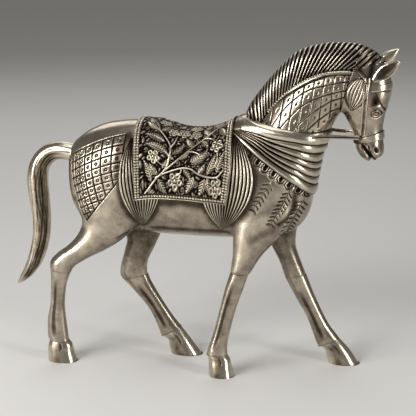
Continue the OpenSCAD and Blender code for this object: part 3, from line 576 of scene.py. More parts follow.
# %% Neck net
crest_band = [(57, 231), (64.5, 243), (73.5, 253), (83, 260.5), (94, 267.5), (105, 273.5), (117, 278),
              (128, 279.5), (141, 279.5)]
neck_rows = [
    crest_band,
    [(62, 222), (72.8, 236.1), (78.2, 245.3), (87.7, 255.2), (96.4, 262.4), (105.2, 267), (115.3, 269.7),
     (132, 273.5), (141, 274.5)],
    [(70, 222), (78.4, 232.2), (87.1, 241.8), (96, 251.2), (105.4, 257), (118.8, 262.2), (132.2, 265.8),
     (141, 267)],
    [(80, 219), (89.4, 229.3), (98.8, 239.3), (108.9, 247.9), (122.3, 256.6), (133, 260), (141, 261)],
    [(92, 219), (101, 229.5), (111, 239), (122, 247), (134, 251), (141, 252)],
    [(104, 219), (112, 229), (121, 237), (134, 242), (141, 243)]]
neck_rows = [np.array(row, float).T for row in neck_rows]
NECK_COLUMN = 8.45
COLUMN_LEAN = 0.11
COLUMN_AT = (71, 250)
NECK_LINE = 0.45
NECK_PUNCH = 0.75
FIRST_PUNCH = 0.2
NET_LEVELS = (-0.02, 4.6)
LAST_GAP = 8.0
# Rows slant, so they are closer than their heights say.
SLANT_COS = 0.8
BAND_RISE = 0.55
BAND_LINE = 0.7
BAND_FADE = 1.2


def neck_net(x, z):
    """Cuts of the net, and where the band stands over it."""
    levels = [np.interp(x, *row) for row in neck_rows]
    row = np.full(x.shape, len(neck_rows) - 1.0)
    gap = np.full(x.shape, LAST_GAP)
    for k in range(len(neck_rows) - 2, -1, -1):
        high, low = levels[k], levels[k + 1]
        row = np.where(z > low, k + (high - z) / (high - low), row)
        gap = np.where(z > low, (high - low) * SLANT_COS, gap)
    col = (x - COLUMN_LEAN * (z - COLUMN_AT[1]) - COLUMN_AT[0]) / NECK_COLUMN
    lines = np.maximum(cut(from_line(col) * NECK_COLUMN, NECK_LINE), cut(from_line(row) * gap, NECK_LINE))
    punch = cut(np.hypot(in_cell(col) * NECK_COLUMN, in_cell(row) * gap), NECK_PUNCH) * (row > FIRST_PUNCH)
    net = np.where(within(row, NET_LEVELS), np.maximum(lines, punch), 0)
    band = route_distance(x, z, crest_band)
    stands = np.where(row < 0, 1.0, 0.0) * (1 - cut(band, BAND_FADE))
    return np.maximum(net, cut(band, BAND_LINE)), stands


print("neck rows:", len(neck_rows))

# %% [markdown]
# ### Shoulder
# A lace of double scallops hangs under the drape, and three feather sprays are chiselled below it. Deep
# creases part the chest from the shoulder. The wheel can't reach beside a raised edge, so oxide is left along
# girths, hem and drape. Two short strokes of painted shade darken the croup beside the saddle.

# %% Lace, sprays, creases, edge oxide and painted shade
lace_edge = dense([(44, 219), (55.3, 208.7), (73.5, 196.2), (82.6, 190.4), (94.8, 181), (105, 176)])
LACE_PITCH = 8.6
LACE_DEEP = 3.2
LACE_RADII = (4.1, 2.2)
LACE_RISE = 0.9
LACE_FIRST = 0.7
LACE_LINE = 0.62
LACE_GROUND = 4.9
LACE_REACH = (-2, 12)
LEAF_LONG = 4.2
LEAF_TAPER = 0.35
LEAF_LEAN = (0.6, 0.8)
LEAF_CUT = 0.9
STALK_CUT = 0.55
STALK_HALF = 0.4
# Foot, tip and pairs of leaves.
sprays = [((72.6, 185.2), (56.7, 157.4), 7), ((89.1, 176.7), (72.6, 145.6), 9),
          ((100.5, 168), (83.5, 134.5), 9)]
# Route, half width and depth.
creases = [([(93.5, 172), (93, 163), (91, 157), (86, 150), (80, 146)], 2.2, 1.1),
           ([(82, 147), (74, 141), (63, 135), (56, 131)], 4.0, 0.5),
           ([(-46, 142), (-56, 133), (-70, 124)], 1.2, 0.7)]
# The first route is oxide along the girths and the hem; the two short ones are painted shade on the croup
# beside the saddle.
edge_oxide_and_painted_shade = [[(-57, 216), (-62.4, 191.6), (-66, 182.5), (-65, 169), (-61.7, 156.8), (-53.9, 143.7), (-44.7, 140.9),
         (-34.4, 152.8), (-30.9, 160.9), (-8, 163.5), (13.6, 160.8), (19.2, 151.1), (28.1, 141.6),
         (36.8, 144.4), (52.2, 161.7), (57.7, 182.4), (57.7, 192), (51.9, 210.2)],
        [(-60, 219), (-62, 205), (-66, 190)], [(-66, 213), (-68, 198)]]
EDGE_OXIDE_AND_SHADE_HALF = 4.5
TINY = 1e-9


def direction(v):
    return v / np.maximum(np.linalg.norm(v, axis=-1, keepdims=True), TINY)


def run_length(points):
    """Distance along a run of points, from its start to each of them."""
    return np.concatenate([[0], np.cumsum(np.linalg.norm(np.diff(points, axis=0), axis=1))])


def lace(x, z):
    """Raised lines of the lace and the dark ground they stand on."""
    raised, ground = np.zeros(x.shape), np.zeros(x.shape)
    reach = run_length(lace_edge)
    for at in np.arange(LACE_PITCH * LACE_FIRST, reach[-1], LACE_PITCH):
        spot, ahead = (np.array([np.interp(a, reach, c) for c in lace_edge.T]) for a in (at, at + 0.5))
        tx, tz = direction(ahead - spot)
        e = (x - spot[0]) * tx + (z - spot[1]) * tz
        f = (x - spot[0]) * tz - (z - spot[1]) * tx
        near = (np.abs(e) < LACE_PITCH / 2) & within(f, LACE_REACH)
        far = np.where(f < LACE_DEEP, np.abs(e), np.hypot(e, f - LACE_DEEP))
        lines = np.maximum(*[cut(far - r, LACE_LINE) for r in LACE_RADII])
        raised = np.maximum(raised, np.where(near, lines, 0))
        ground = np.maximum(ground, np.where(near, unit((LACE_GROUND - far) * 2), 0))
    return raised, ground


def spray(x, z, foot, tip, leaf_pairs):
    foot, tip = np.asarray(foot), np.asarray(tip)
    way = direction(tip - foot)
    side = np.array([-way[1], way[0]])
    best = STALK_CUT * cut(route_distance(x, z, [foot, tip]), STALK_HALF)
    for k in range(leaf_pairs):
        start = foot + (tip - foot) * (k + 0.6) / leaf_pairs
        long = LEAF_LONG * (1 - LEAF_TAPER * k / leaf_pairs)
        for turn in (-1, 1):
            a = start + side * turn
            b = a + (way * LEAF_LEAN[0] + side * turn * LEAF_LEAN[1]) * long
            best = np.maximum(best, LEAF_CUT * cut(route_distance(x, z, [a, b])))
    return best


print("sprays:", len(sprays), "creases:", len(creases))

# %% Divide the skin where it is chased
SEAT_FRONT = (115, 221.6)
SEAT_REAR = (41, 239)
# Ends in x and in z, and the least distance from the middle plane.
CROUP_BOX = ((-121, -61), (139, 221), 7)
SHOULDER_BOX = ((46, 112), (132, 214), 12)
# Straight limits: x and z of a point, and the rise.
UNDER_CROUP = (-66.5, 177, 1.22)
UNDER_SHOULDER = (40, 175, -0.9)
OVER_SHOULDER = (40, 226, -0.68)
NECK_MARGINS = (3, 2)
NECK_OFF = 6
NEW_CUTS = 2
FINE_SMOOTHING = 5


def divide(mesh, chosen, cuts):
    work = bmesh.new()
    work.from_mesh(mesh)
    work.faces.ensure_lookup_table()
    edges = {e for k in np.flatnonzero(chosen) for e in work.faces[k].edges}
    bmesh.ops.subdivide_edges(work, edges=list(edges), cuts=cuts, use_grid_fill=True)
    work.to_mesh(mesh)
    work.free()
    mesh.update()


def seat_height(x):
    """Height of the neck's seat on the body."""
    (x0, z0), (x1, z1) = SEAT_FRONT, SEAT_REAR
    return z0 + (x0 - x) * (z1 - z0) / (x0 - x1)


def in_box(p, x_ends, z_ends, off_middle):
    x, y, z = p.T
    return within(x, x_ends) & within(z, z_ends) & (np.abs(y) > off_middle)


def straight(x, x0, z0, rise):
    return z0 + (x - x0) * rise


def chased_areas(p):
    x, y, z = p.T
    croup = in_box(p, *CROUP_BOX) & (z > straight(x, *UNDER_CROUP))
    ends = seat_height(x) + NECK_MARGINS[0], np.interp(x, *neck_rows[0]) + NECK_MARGINS[1]
    neck = within(z, ends) & (np.abs(y) > NECK_OFF)
    ends = straight(x, *UNDER_SHOULDER), straight(x, *OVER_SHOULDER)
    shoulder = in_box(p, *SHOULDER_BOX) & within(z, ends)
    return croup | neck | shoulder


divide(skin, chased_areas(read(skin.polygons, "center") / MM), NEW_CUTS)
pairs = edge_pairs(skin)
fine = chased_areas(coords(skin)).astype(float)[:, None]
set_coords(skin, relax(coords(skin), pairs, FINE_SMOOTHING, 0.5 * fine))
print("skin vertices after dividing:", len(skin.vertices))

# %% Cut the patterns
SKIN_SIDE = (0.12, 0.2)
CROUP_FROM = (-60, 138)
SHOULDER_FROM = (44, 130)
LACE_SUNK = 0.3
HOLLOW = 0.05
DIP_SMOOTHING = 12
INNER_LEG = (75, 140)
INNER_FADE = 35
BELLY_X = (-46, 40)
BELLY_TOP = 142
BELLY_BAND = 135
BELLY_EDGE = 129
# Shares of full oxide in creases, beside raised edges and in hollows, where the edge share also gives painted
# shade by the saddle; and shares of painted shade under the body, between the legs and along the belly.
CREASE_DARK = 0.5
EDGE_OXIDE_AND_SHADE_DARK = 0.6
DIP_DARK = 0.55
UNDERSIDE_SHADE = 0.22
INNER_SHADE = 0.4
BELLY_SHADE = 0.4


def side_share(normals, start, fade):
    """1 where a skin faces sideways, falling to 0 where it faces along or up."""
    return unit((np.abs(normals[..., 1]) - start) / fade)


p = coords(skin)
n = outward(skin)
x, y, z = p.T
sideways = side_share(n, *SKIN_SIDE)
# Oxide and painted shade are gathered in one array.
cuts, rise, folds, patina_and_painted_shade = np.zeros((4, len(p)))
on_neck = z > seat_height(x)
here = (x < CROUP_FROM[0]) & (z > CROUP_FROM[1]) & ~on_neck
cuts[here] = croup_net(x[here], z[here])
cuts[on_neck], band = neck_net(x[on_neck], z[on_neck])
rise[on_neck] = band * BAND_RISE
here = (x > SHOULDER_FROM[0]) & (z > SHOULDER_FROM[1]) & ~on_neck
cuts[here] = np.maximum.reduce([spray(x[here], z[here], *leaves) for leaves in sprays])
cuts *= sideways
lines, ground = lace(x[here], z[here])
rise[here] = (LACE_RISE * lines - LACE_SUNK * ground) * sideways[here]
patina_and_painted_shade[here] = ground * (1 - lines) * sideways[here]
for route, half, deep in creases:
    fold = cut(route_distance(x, z, dense(route)), half) * sideways * deep
    folds += fold
    patina_and_painted_shade = np.maximum(patina_and_painted_shade, fold * CREASE_DARK)
# Oxide beside the girths, and painted shade on the croup beside the saddle.
for route in edge_oxide_and_painted_shade:
    patina_and_painted_shade = np.maximum(patina_and_painted_shade, EDGE_OXIDE_AND_SHADE_DARK * cut(route_distance(x, z, route), EDGE_OXIDE_AND_SHADE_HALF) * sideways)
dip = unit(relax(hollowness(skin, pairs), pairs, DIP_SMOOTHING) / HOLLOW)
# Painted shade: the skin gets darker the more it faces down.
below = unit(0.25 - n[:, 2]) * UNDERSIDE_SHADE
# Painted shade between the legs: their upper inner sides, facing the middle, are darkened.
between = unit(-np.sign(y) * n[:, 1]) * unit((z - INNER_LEG[0]) / INNER_FADE) * (z < INNER_LEG[1])
# Along the belly a band of painted shade lies over a painted highlight on the lower edge, which the painted
# underside shade leaves out.
on_belly = unit(np.minimum(x - BELLY_X[0], BELLY_X[1] - x) / 8) * (z < BELLY_TOP)
patina_and_painted_shade = np.maximum(patina_and_painted_shade, BELLY_SHADE * cut(z - BELLY_BAND, 2.0) * on_belly)
below = below * (1 - on_belly * cut(z - BELLY_EDGE, 4.0))
set_coords(skin, p + n * (rise - LINE_DEPTH * cuts - folds)[:, None])
set_patina(skin, np.maximum.reduce([cuts, patina_and_painted_shade, dip * DIP_DARK]) + below + INNER_SHADE * between)
skin_tree = BVHTree.FromPolygons(coords(skin).tolist(), [list(f.vertices) for f in skin.polygons])
print("chased share of the skin: %.2f" % float((cuts > 0.3).mean()))

# %% [markdown]
# ## Body halves and neck
# The foundry casts the body in two halves and the neck on its own. Cutting the finished skin with planes
# gives the three castings, and each cut is closed with a flat face.

# %% Cut the skin into castings


def kept_side(mesh, name, planes):
    """Copy of a closed mesh, cut by planes given as a point and the normal of the side that goes."""
    work = bmesh.new()
    work.from_mesh(mesh)
    for point, normal in planes:
        geom = work.verts[:] + work.edges[:] + work.faces[:]
        made = bmesh.ops.bisect_plane(work, geom=geom, dist=1e-7, plane_co=Vector(point) * MM,
                                      plane_no=Vector(normal), clear_outer=True)
        rim = [g for g in made["geom_cut"] if isinstance(g, bmesh.types.BMEdge)]
        bmesh.ops.holes_fill(work, edges=rim, sides=0)
    half = bpy.data.meshes.new(name)
    work.to_mesh(half)
    work.free()
    return half


seat_up = Vector((SEAT_REAR[1] - SEAT_FRONT[1], 0, SEAT_FRONT[0] - SEAT_REAR[0])).normalized()
seat_spot = (SEAT_FRONT[0], 0, SEAT_FRONT[1])
for name, turn in SIDES.items():
    half = kept_side(skin, "body", [(seat_spot, seat_up), ((0, 0, 0), (0, -turn[1], 0))])
    finish_piece("chased_body_" + name, half, "antique_casting", "body_" + name)
finish_piece("chased_neck", kept_side(skin, "neck", [(seat_spot, -seat_up)]), "antique_casting", "neck")

# %% [markdown]
# ## Lower legs and hooves
# Each lower leg is a tapered casting that slips into the limb above it, so a small lip shows at the knee. A
# shallow groove on each side marks the tendon and keeps its oxide. The hoof flares to the ground and has a
# slot on each side of its front.

# %% Cannons and hooves
LIP = 0.6
FAINT_LIP = 0.05
SUNK = 1.6
HOOF_TRIM = 0.04
LEG_SIDES = 96
TENDON_AT = 98
TENDON_DEEP = 0.11
SLOT_AT = 75
SLOT_DEEP = 0.07
DULL_AT = 100


def lower_top(s, lip):
    """First section of a casting that hangs under another: narrower by the lip."""
    s = np.asarray(s, float)
    way = direction(s[2:4] - s[0:2])
    up = np.array([-way[1], way[0]]) * SUNK
    return np.concatenate([s[0:2] + up + way * lip, s[2:4] + up - way * lip, [s[4] - lip]])


def from_sides(degrees, half):
    """1 at an angle from the leg's front, on its left and on its right."""
    return sum(cut(np.sin((circle(LEG_SIDES) + turn * np.radians(degrees)) / 2), half) for turn in (-1, 1))


def stage_rings(limb, stage, lip, per):
    """Rings of a lower stage, how far down each one is, and their middles."""
    top = lower_top(limb["stages"][stage - 1][-1], lip)
    rings = limb_rings([top] + limb["stages"][stage], limb, per, LEG_SIDES)
    return rings, np.linspace(0, 1, len(rings))[:, None], rings.mean(1, keepdims=True)


for name, limb in limbs.items():
    lip = LIP if name == "fore_right" else FAINT_LIP
    rings, down, centre = stage_rings(limb, 1, lip, 14)
    tendon = from_sides(TENDON_AT, 0.13) * unit(np.minimum(down - 0.12, 0.86 - down) * 6)
    rings = rings + (centre - rings) * (TENDON_DEEP * tendon)[..., None]
    worn = 0.08 + 0.6 * tendon + 0.8 * lip * cut(down, 0.02) + 0.3 * cut(1 - down, 0.03)
    cast_piece("lower_leg_" + name, loft(rings), worn, "antique_casting", name.replace("_", "_cannon_"), 50)
    rings, down, centre = stage_rings(limb, 2, LIP, 20)
    slot = from_sides(SLOT_AT, 0.05) * unit(np.minimum(down - 0.1, 0.6 - down) * 8)
    rings = rings + (centre - rings) * (SLOT_DEEP * slot)[..., None]
    rings[..., 1] += (centre[..., 1] - rings[..., 1]) * HOOF_TRIM
    rings[..., 2] = np.maximum(rings[..., 2], 0)
    dull = 0.5 * from_sides(DULL_AT, 0.2) * unit(down * 4)
    worn = np.maximum(0.8 * slot, dull) + 0.5 * cut(down, 0.04) + 0.4 * cut(1 - down, 0.06)
    cast_piece("hoof_casting_" + name, loft(rings), worn, "polished_casting", name.replace("_", "_hoof_"), 50)

# %% [markdown]
# ## Tail
# The tail is one casting bent in an S, with long strand lines cut round it and a dark streak along its inner
# side.

# %% Tail
TAIL_STRANDS = 11
STRAND_DEEP = 0.45
STREAK_AT = 68
STREAK = 0.62
TAIL_ROWS = 340
TAIL_SIDES = 160
last = len(tail_line) - 1
u = np.linspace(0, last, TAIL_ROWS)
s = curve(tail_line, u)
ahead, behind = (curve(tail_line, np.clip(u + step, 0, last))[:, :2] for step in (0.1, -0.1))
way = ahead - behind
way[0] = (-1, 0)
way = direction(way)
across = np.stack([-way[:, 1], way[:, 0]], 1) * s[:, 2:3] / 2
sections = np.concatenate([s[:, :2] - across, s[:, :2] + across, s[:, 3:4]], 1)[:, None, :]
turn = circle(TAIL_SIDES)
rings = oval(sections, turn, LIMB_SQUARE)
strand = np.abs(np.sin(TAIL_STRANDS * (turn + 0.25 * np.sin(u * 1.1)[:, None]) / 2)) ** 0.5
depth = STRAND_DEEP * unit(np.minimum(u - 0.3, 10.4 - u) * 1.5)[:, None]
inner_side = unit((np.cos(turn + np.radians(STREAK_AT)) - 0.74) * 5)
streak = inner_side * unit(np.minimum(u - 0.6, 10.6 - u) * 0.8)[:, None]
streak = streak * (0.55 + 0.45 * np.abs(np.sin(10 * turn + 1.3 * np.sin(1.7 * u)[:, None])))
centre = rings.mean(1, keepdims=True)
radius = np.linalg.norm(rings - centre, axis=-1)
rings = rings + (centre - rings) * ((1 - strand) * depth * 0.9 / np.maximum(radius, 1))[..., None]
worn = unit(1 - strand * 1.25) * depth * 1.1 + STREAK * streak
cast_piece("strand_tail", loft(rings), worn, "polished_casting", "tail", 50)

# %% [markdown]
# ## Mane
# The mane is a crest of thin raised locks with wide dark grooves between them. One lock is a section from its
# foot on the neck to its tip. Rows of sections along the crest sink and rise, and each lock differs a little.

# %% Mane
mane_line = np.array([
    [44.5, 238.4, 43.5, 242, 5], [51, 236.9, 47.5, 250, 10], [58.6, 235.2, 55, 261, 13.4],
    [66, 245.5, 64, 272.5, 13.6], [75, 256, 75, 285, 13.2], [86, 266, 90.5, 298.5, 12.8],
    [100.5, 275.5, 111, 305, 12.4], [115, 281, 129.5, 306.5, 12], [128, 283, 144.5, 305.3, 11.6],
    [140.5, 283, 158, 299.5, 11.3], [150, 281.5, 168, 291, 11]])
MANE_LOCKS = 31
MANE_GROOVE = 1.9
MANE_BEND = 6.0
MANE_SQUARE = 0.8
MANE_SHORT = 0.25
MANE_STEPS = 600
PER_LOCK = 14
QUARTER_STEPS = 30
rng = np.random.default_rng(11)
u = np.linspace(0, len(mane_line) - 1 - MANE_SHORT, MANE_STEPS)
path = curve(mane_line, u)
reach = run_length((path[:, 0:2] + path[:, 2:4]) / 2)
t = np.linspace(0, 1, MANE_LOCKS * PER_LOCK + 1)
s = curve(mane_line, np.interp(t * reach[-1], reach, u))
phase = t * MANE_LOCKS
size = 0.85 + 0.3 * rng.random(MANE_LOCKS + 1)[np.floor(phase).astype(int)]
thin = unit(np.minimum(t - 0.35, 0.95 - t) * 5)
lock = unit(1.25 * (1 - (in_cell(phase) / (0.36 - 0.11 * thin)) ** 2)) * np.minimum(size, 1)
sunk = np.minimum(MANE_GROOVE, (s[:, 4] - 3) / 2) * (1 - lock)
span = np.linalg.norm(s[:, 2:4] - s[:, 0:2], axis=1)
up = (s[:, 2:4] - s[:, 0:2]) / span[:, None]
ahead = direction(np.gradient(s[:, 2:4], axis=0))
quarter = np.linspace(0, np.pi / 2, QUARTER_STEPS)[None, :]
lift = 0.3 + (span - 0.4 - 0.12 * sunk)[:, None] * power(np.cos(quarter), MANE_SQUARE)
sweep = MANE_BEND * t[:, None] * (lift / span[:, None] - 0.5)
wide = (s[:, 4] - sunk * 0.75)[:, None] * power(np.sin(quarter), MANE_SQUARE)
left = np.stack([s[:, 0:1] + up[:, 0:1] * lift + ahead[:, 0:1] * sweep, wide,
                 s[:, 1:2] + up[:, 1:2] * lift + ahead[:, 1:2] * sweep], -1)
rings = np.concatenate([left, mirrored(left[:, :0:-1])], 1)
worn = np.repeat(unit(1.15 - lock * 1.25), rings.shape[1])
cast_piece("locked_mane", loft(rings), worn, "oxidised_relief", "mane", 50)

# %% [markdown]
# ## Saddle cloth
# The cloth is the statue's show piece: flowers and feathered leaves stand on stems over a ground that was
# punched down and left black, and small leaves fill the gaps. It follows the flank, so it is drawn flat in
# millimetres across and down, and each point is then set on the trunk at its own angle. The relief is the
# largest of the motifs at a point.

# %% Places on a skin
HALVINGS = 20


def seek(rows, like, before, halvings=HALVINGS):
    """Position along rows where a test stops being true, for each place of an array."""
    low = np.zeros_like(like)
    high = np.full_like(like, len(rows) - 1.0)
    for _ in range(halvings):
        mid = (low + high) / 2
        passed = before(mid)
        low = np.where(passed, mid, low)
        high = np.where(passed, high, mid)
    return (low + high) / 2


def place(stations, x, z):
    """Position along the stations of the section that passes through a point in side view."""
    def behind(u):
        s = curve(stations, u)
        return (s[..., 2] - s[..., 0]) * (z - s[..., 1]) < (s[..., 3] - s[..., 1]) * (x - s[..., 0])
    return seek(stations, x, behind)


def skin_angle(s, x, z, square):
    """Angle on a section of a point that lies on it in side view."""
    span = s[..., 2:4] - s[..., 0:2]
    reach = (x - s[..., 0]) * span[..., 0] + (z - s[..., 1]) * span[..., 1]
    share = 2 * reach / (span ** 2).sum(-1) - 1
    return np.arccos(np.clip(power(share, 1 / square), -1, 1))


def skin_point(stations, square, x, z, grow=0.0):
    """The left skin's point at a place in side view, raised by grow."""
    s = curve(stations, place(stations, x, z))
    return oval(s, skin_angle(s, x, z, square), square, grow)


print("places are found in", HALVINGS, "halvings")

# %% The cloth's place on the trunk
# Angle round the trunk and x of the rear and front edges.
panel_rear = np.array([[0, -56.8], [40, -54.6], [75, -52.2], [104, -51.2]])
panel_front = np.array([[0, 33.5], [40, 36], [75, 36.8], [104, 32.5]])
PANEL_LAST = 103.5
PANEL_ARCH = 6.0
PANEL_STEPS = 240
CLOTH_W = 88.0
SEAM_GAP = np.array([0, 0.05, 0])


def shares(across, down):
    """Two grids from 0 to 1: the share across a sheet and the share down it."""
    return np.meshgrid(np.linspace(0, 1, across), np.linspace(0, 1, down))


across, down = shares(PANEL_STEPS + 1, PANEL_STEPS + 1)
degrees = (PANEL_LAST - PANEL_ARCH * np.sin(np.pi * across)) * down
cloth_x = np.interp(degrees, *panel_rear.T) * (1 - across) + np.interp(degrees, *panel_front.T) * across
cloth_angle = np.radians(degrees)
cloth_s = curve(trunk, seek(trunk, cloth_x, lambda u: oval(
    curve(trunk, u), cloth_angle, TRUNK_SQUARE)[..., 0] < cloth_x))


def cloth(grow):
    return oval(cloth_s, cloth_angle, TRUNK_SQUARE, grow) + SEAM_GAP


CLOTH_L = float(run_length(cloth(0.0)[:, PANEL_STEPS // 2])[-1])
scale = np.array([CLOTH_W, CLOTH_L])
p_mm, q_mm = across * CLOTH_W, down * CLOTH_L
print("cloth %.0f by %.0f mm a side" % (CLOTH_W, CLOTH_L))

# %% Places of stems, leaves and flowers
# Places are shares of the cloth's width and length.
stems = [
    [(0.118, 0.948), (0.22, 0.864), (0.336, 0.736), (0.372, 0.603), (0.378, 0.472), (0.318, 0.359),
     (0.258, 0.283)],
    [(0.336, 0.75), (0.472, 0.611), (0.601, 0.463), (0.727, 0.318), (0.814, 0.203), (0.9, 0.15)],
    [(0.234, 0.834), (0.361, 0.767), (0.498, 0.713), (0.596, 0.718), (0.67, 0.763), (0.773, 0.794),
     (0.872, 0.796), (0.925, 0.74)]]
twigs = [
    [(0.35, 0.7), (0.29, 0.7), (0.245, 0.67)], [(0.378, 0.5), (0.42, 0.4), (0.44, 0.32)],
    [(0.66, 0.395), (0.64, 0.33), (0.62, 0.3)], [(0.72, 0.33), (0.79, 0.35), (0.84, 0.42)],
    [(0.86, 0.53), (0.865, 0.62), (0.84, 0.7)], [(0.5, 0.715), (0.49, 0.76), (0.46, 0.79)],
    [(0.873, 0.797), (0.885, 0.82), (0.892, 0.84)], [(0.26, 0.29), (0.24, 0.2), (0.2, 0.12)],
    [(0.55, 0.52), (0.62, 0.52), (0.68, 0.55)]]
flowers = [((0.872, 0.885), 6.6), ((0.44, 0.845), 7.2), ((0.21, 0.63), 6.4), ((0.503, 0.236), 6.6),
           ((0.852, 0.47), 6.4), ((0.63, 0.255), 5.8), ((0.4, 0.245), 5.4), ((0.3, 0.09), 6.0),
           ((0.62, 0.1), 6.0), ((0.84, 0.08), 5.0)]
# Base, tip, half width and bow.
leaves = [((0.585, 0.64), (0.765, 0.49), 5.2, 2.2), ((0.765, 0.775), (0.845, 0.56), 3.7, 0.8),
          ((0.86, 0.765), (0.935, 0.555), 3.3, -0.6), ((0.63, 0.79), (0.555, 0.945), 3.6, -0.8),
          ((0.745, 0.81), (0.7, 0.95), 3.8, -0.8), ((0.32, 0.43), (0.115, 0.37), 4.2, 1.2),
          ((0.36, 0.57), (0.115, 0.49), 4.2, 1.6), ((0.25, 0.28), (0.11, 0.13), 5.0, 0.8),
          ((0.4, 0.57), (0.52, 0.41), 3.2, 1.0), ((0.19, 0.87), (0.11, 0.67), 3.2, 0.8),
          ((0.25, 0.81), (0.17, 0.7), 2.8, -0.6), ((0.26, 0.84), (0.355, 0.95), 3.4, 0.8),
          ((0.15, 0.93), (0.25, 0.965), 2.4, 0.0), ((0.48, 0.62), (0.575, 0.53), 2.4, 0.4),
          ((0.87, 0.19), (0.94, 0.36), 3.2, 0.8), ((0.27, 0.28), (0.36, 0.14), 3.2, 0.6),
          ((0.76, 0.27), (0.7, 0.13), 3.4, 0.6), ((0.6, 0.46), (0.53, 0.32), 3.2, 0.8),
          ((0.7, 0.36), (0.77, 0.46), 3.2, 0.6), ((0.3, 0.74), (0.36, 0.63), 2.2, 0.0),
          ((0.42, 0.63), (0.33, 0.56), 2.0, 0.0), ((0.52, 0.72), (0.6, 0.83), 2.6, -0.6),
          ((0.67, 0.76), (0.74, 0.66), 3.0, 0.6), ((0.77, 0.8), (0.82, 0.94), 2.8, 0.6),
          ((0.93, 0.74), (0.955, 0.62), 2.2, 0.0), ((0.2, 0.13), (0.12, 0.03), 3.6, 0.6),
          ((0.44, 0.12), (0.5, 0.02), 3.4, 0.6), ((0.72, 0.13), (0.76, 0.03), 3.4, 0.6),
          ((0.9, 0.15), (0.93, 0.05), 3.0, 0.4)]
tendrils = [((0.46, 0.66), 2.6), ((0.62, 0.66), 2.6), ((0.48, 0.34), 2.4), ((0.32, 0.48), 2.2),
            ((0.13, 0.56), 2.2), ((0.76, 0.55), 2.2), ((0.66, 0.86), 2.2), ((0.8, 0.12), 2.4),
            ((0.13, 0.27), 2.2), ((0.52, 0.92), 2.2), ((0.36, 0.88), 2.0), ((0.94, 0.47), 1.8),
            ((0.56, 0.14), 2.2)]
print("stems", len(stems), "twigs", len(twigs), "leaves", len(leaves), "flowers", len(flowers))

# %% Relief of the motifs
# Heights over the ground are in millimetres.
RIB_PITCH = 2.0
PETALS = 5
STEM_HALF = 0.85
TWIG_HALF = 0.6


def leaf_relief(base, tip, half, bow):
    base, tip = base * scale, tip * scale
    long = np.linalg.norm(tip - base)
    way = (tip - base) / long
    dp, dq = p_mm - base[0], q_mm - base[1]
    t = (dp * way[0] + dq * way[1]) / long
    inside = within(t, (0, 1))
    t = unit(t)
    v = dq * way[0] - dp * way[1] - bow * np.sin(np.pi * t)
    wide = half * np.sin(np.pi * t ** 0.8) * (1 + 0.1 * np.cos(2 * np.pi * t * long / RIB_PITCH)) + 0.01
    body = np.sqrt(unit(1 - (v / wide) ** 2))
    v = np.abs(v)
    ribs = 0.5 + 0.5 * np.cos(2 * np.pi * (t * long - 0.9 * v) / RIB_PITCH)
    top = 0.55 + 0.65 * body - 0.75 * ribs * (v > 0.4) - 0.35 * cut(v - 0.45, 0.3)
    return np.where(inside & (v < wide), np.maximum(top, 0.12), 0)


def flower_relief(at, radius):
    centre = at * scale
    dp, dq = p_mm - centre[0], q_mm - centre[1]
    best = 1.2 * np.sqrt(unit(1 - (dp ** 2 + dq ** 2) / (0.24 * radius) ** 2))
    for turn in 2 * np.pi * (np.arange(PETALS) + 0.2) / PETALS:
        d = np.hypot(dp - 0.6 * radius * math.cos(turn), dq - 0.6 * radius * math.sin(turn)) / (0.37 * radius)
        best = np.maximum(best, np.where(d < 1, 1.2 * np.sqrt(unit(1 - d ** 6)) - cut(d, 0.42), 0))
    return best


def tendril_relief(at, radius):
    turn = np.linspace(0.4, 2.6 * np.pi, 28)
    coil = at * scale + (radius * turn / turn[-1])[:, None] * np.stack([np.cos(turn), np.sin(turn)], 1)
    return 0.75 * cut(route_distance(p_mm, q_mm, coil), 0.6)


def stem_relief(route, half):
    far = route_distance(p_mm, q_mm, dense(route * scale))
    return 1.3 * np.sqrt(unit(1 - (far / half) ** 2))


motifs = [leaf_relief(*leaf) for leaf in leaves] + [tendril_relief(*coil) for coil in tendrils]
motifs += [flower_relief(*flower) for flower in flowers]
motifs += [stem_relief(route, STEM_HALF) for route in stems]
motifs += [stem_relief(route, TWIG_HALF) for route in twigs]
relief = np.maximum.reduce(motifs)
print("motifs:", len(motifs))

# %% Small leaves that fill the ground
# The largest come first, each only where nothing stands yet.
FILLERS = (3.4, 2.6, 2.0, 1.5, 1.1)
TRIES = 1600
FILLER_SLIM = (0.32, 0.5)
FILLER_HIGH = 0.9
CLEARANCE = 1.25
EMPTY = 0.05
rng = np.random.default_rng(5)
cell = CLOTH_W / PANEL_STEPS
kept = 0
for size in np.repeat(FILLERS, TRIES):
    row, col = rng.integers(4, PANEL_STEPS - 3, 2)
    slim, turn = rng.uniform(*FILLER_SLIM), rng.uniform(0, np.pi)
    span = int(size / cell) + 2
    here = tuple(slice(max(k - span, 0), k + span + 1) for k in (row, col))
    dp, dq = p_mm[here] - p_mm[row, col], q_mm[here] - q_mm[row, col]
    far = np.hypot((dp * math.cos(turn) + dq * math.sin(turn)) / size,
                   (dq * math.cos(turn) - dp * math.sin(turn)) / (size * slim))
    if relief[here][far < CLEARANCE].max() < EMPTY:
        relief[here] = np.maximum(relief[here], FILLER_HIGH * np.sqrt(unit(1 - far ** 2)))
        kept += 1
print("small leaves:", kept)

# %% Border rails and the finished cloth
RAIL = 5.6
HEM_RAIL = 3.6
RAIL_HIGH = 0.35
RIM = 0.4
RIM_HIGH = 0.9
GROUND = 1.45
BACK = 0.8
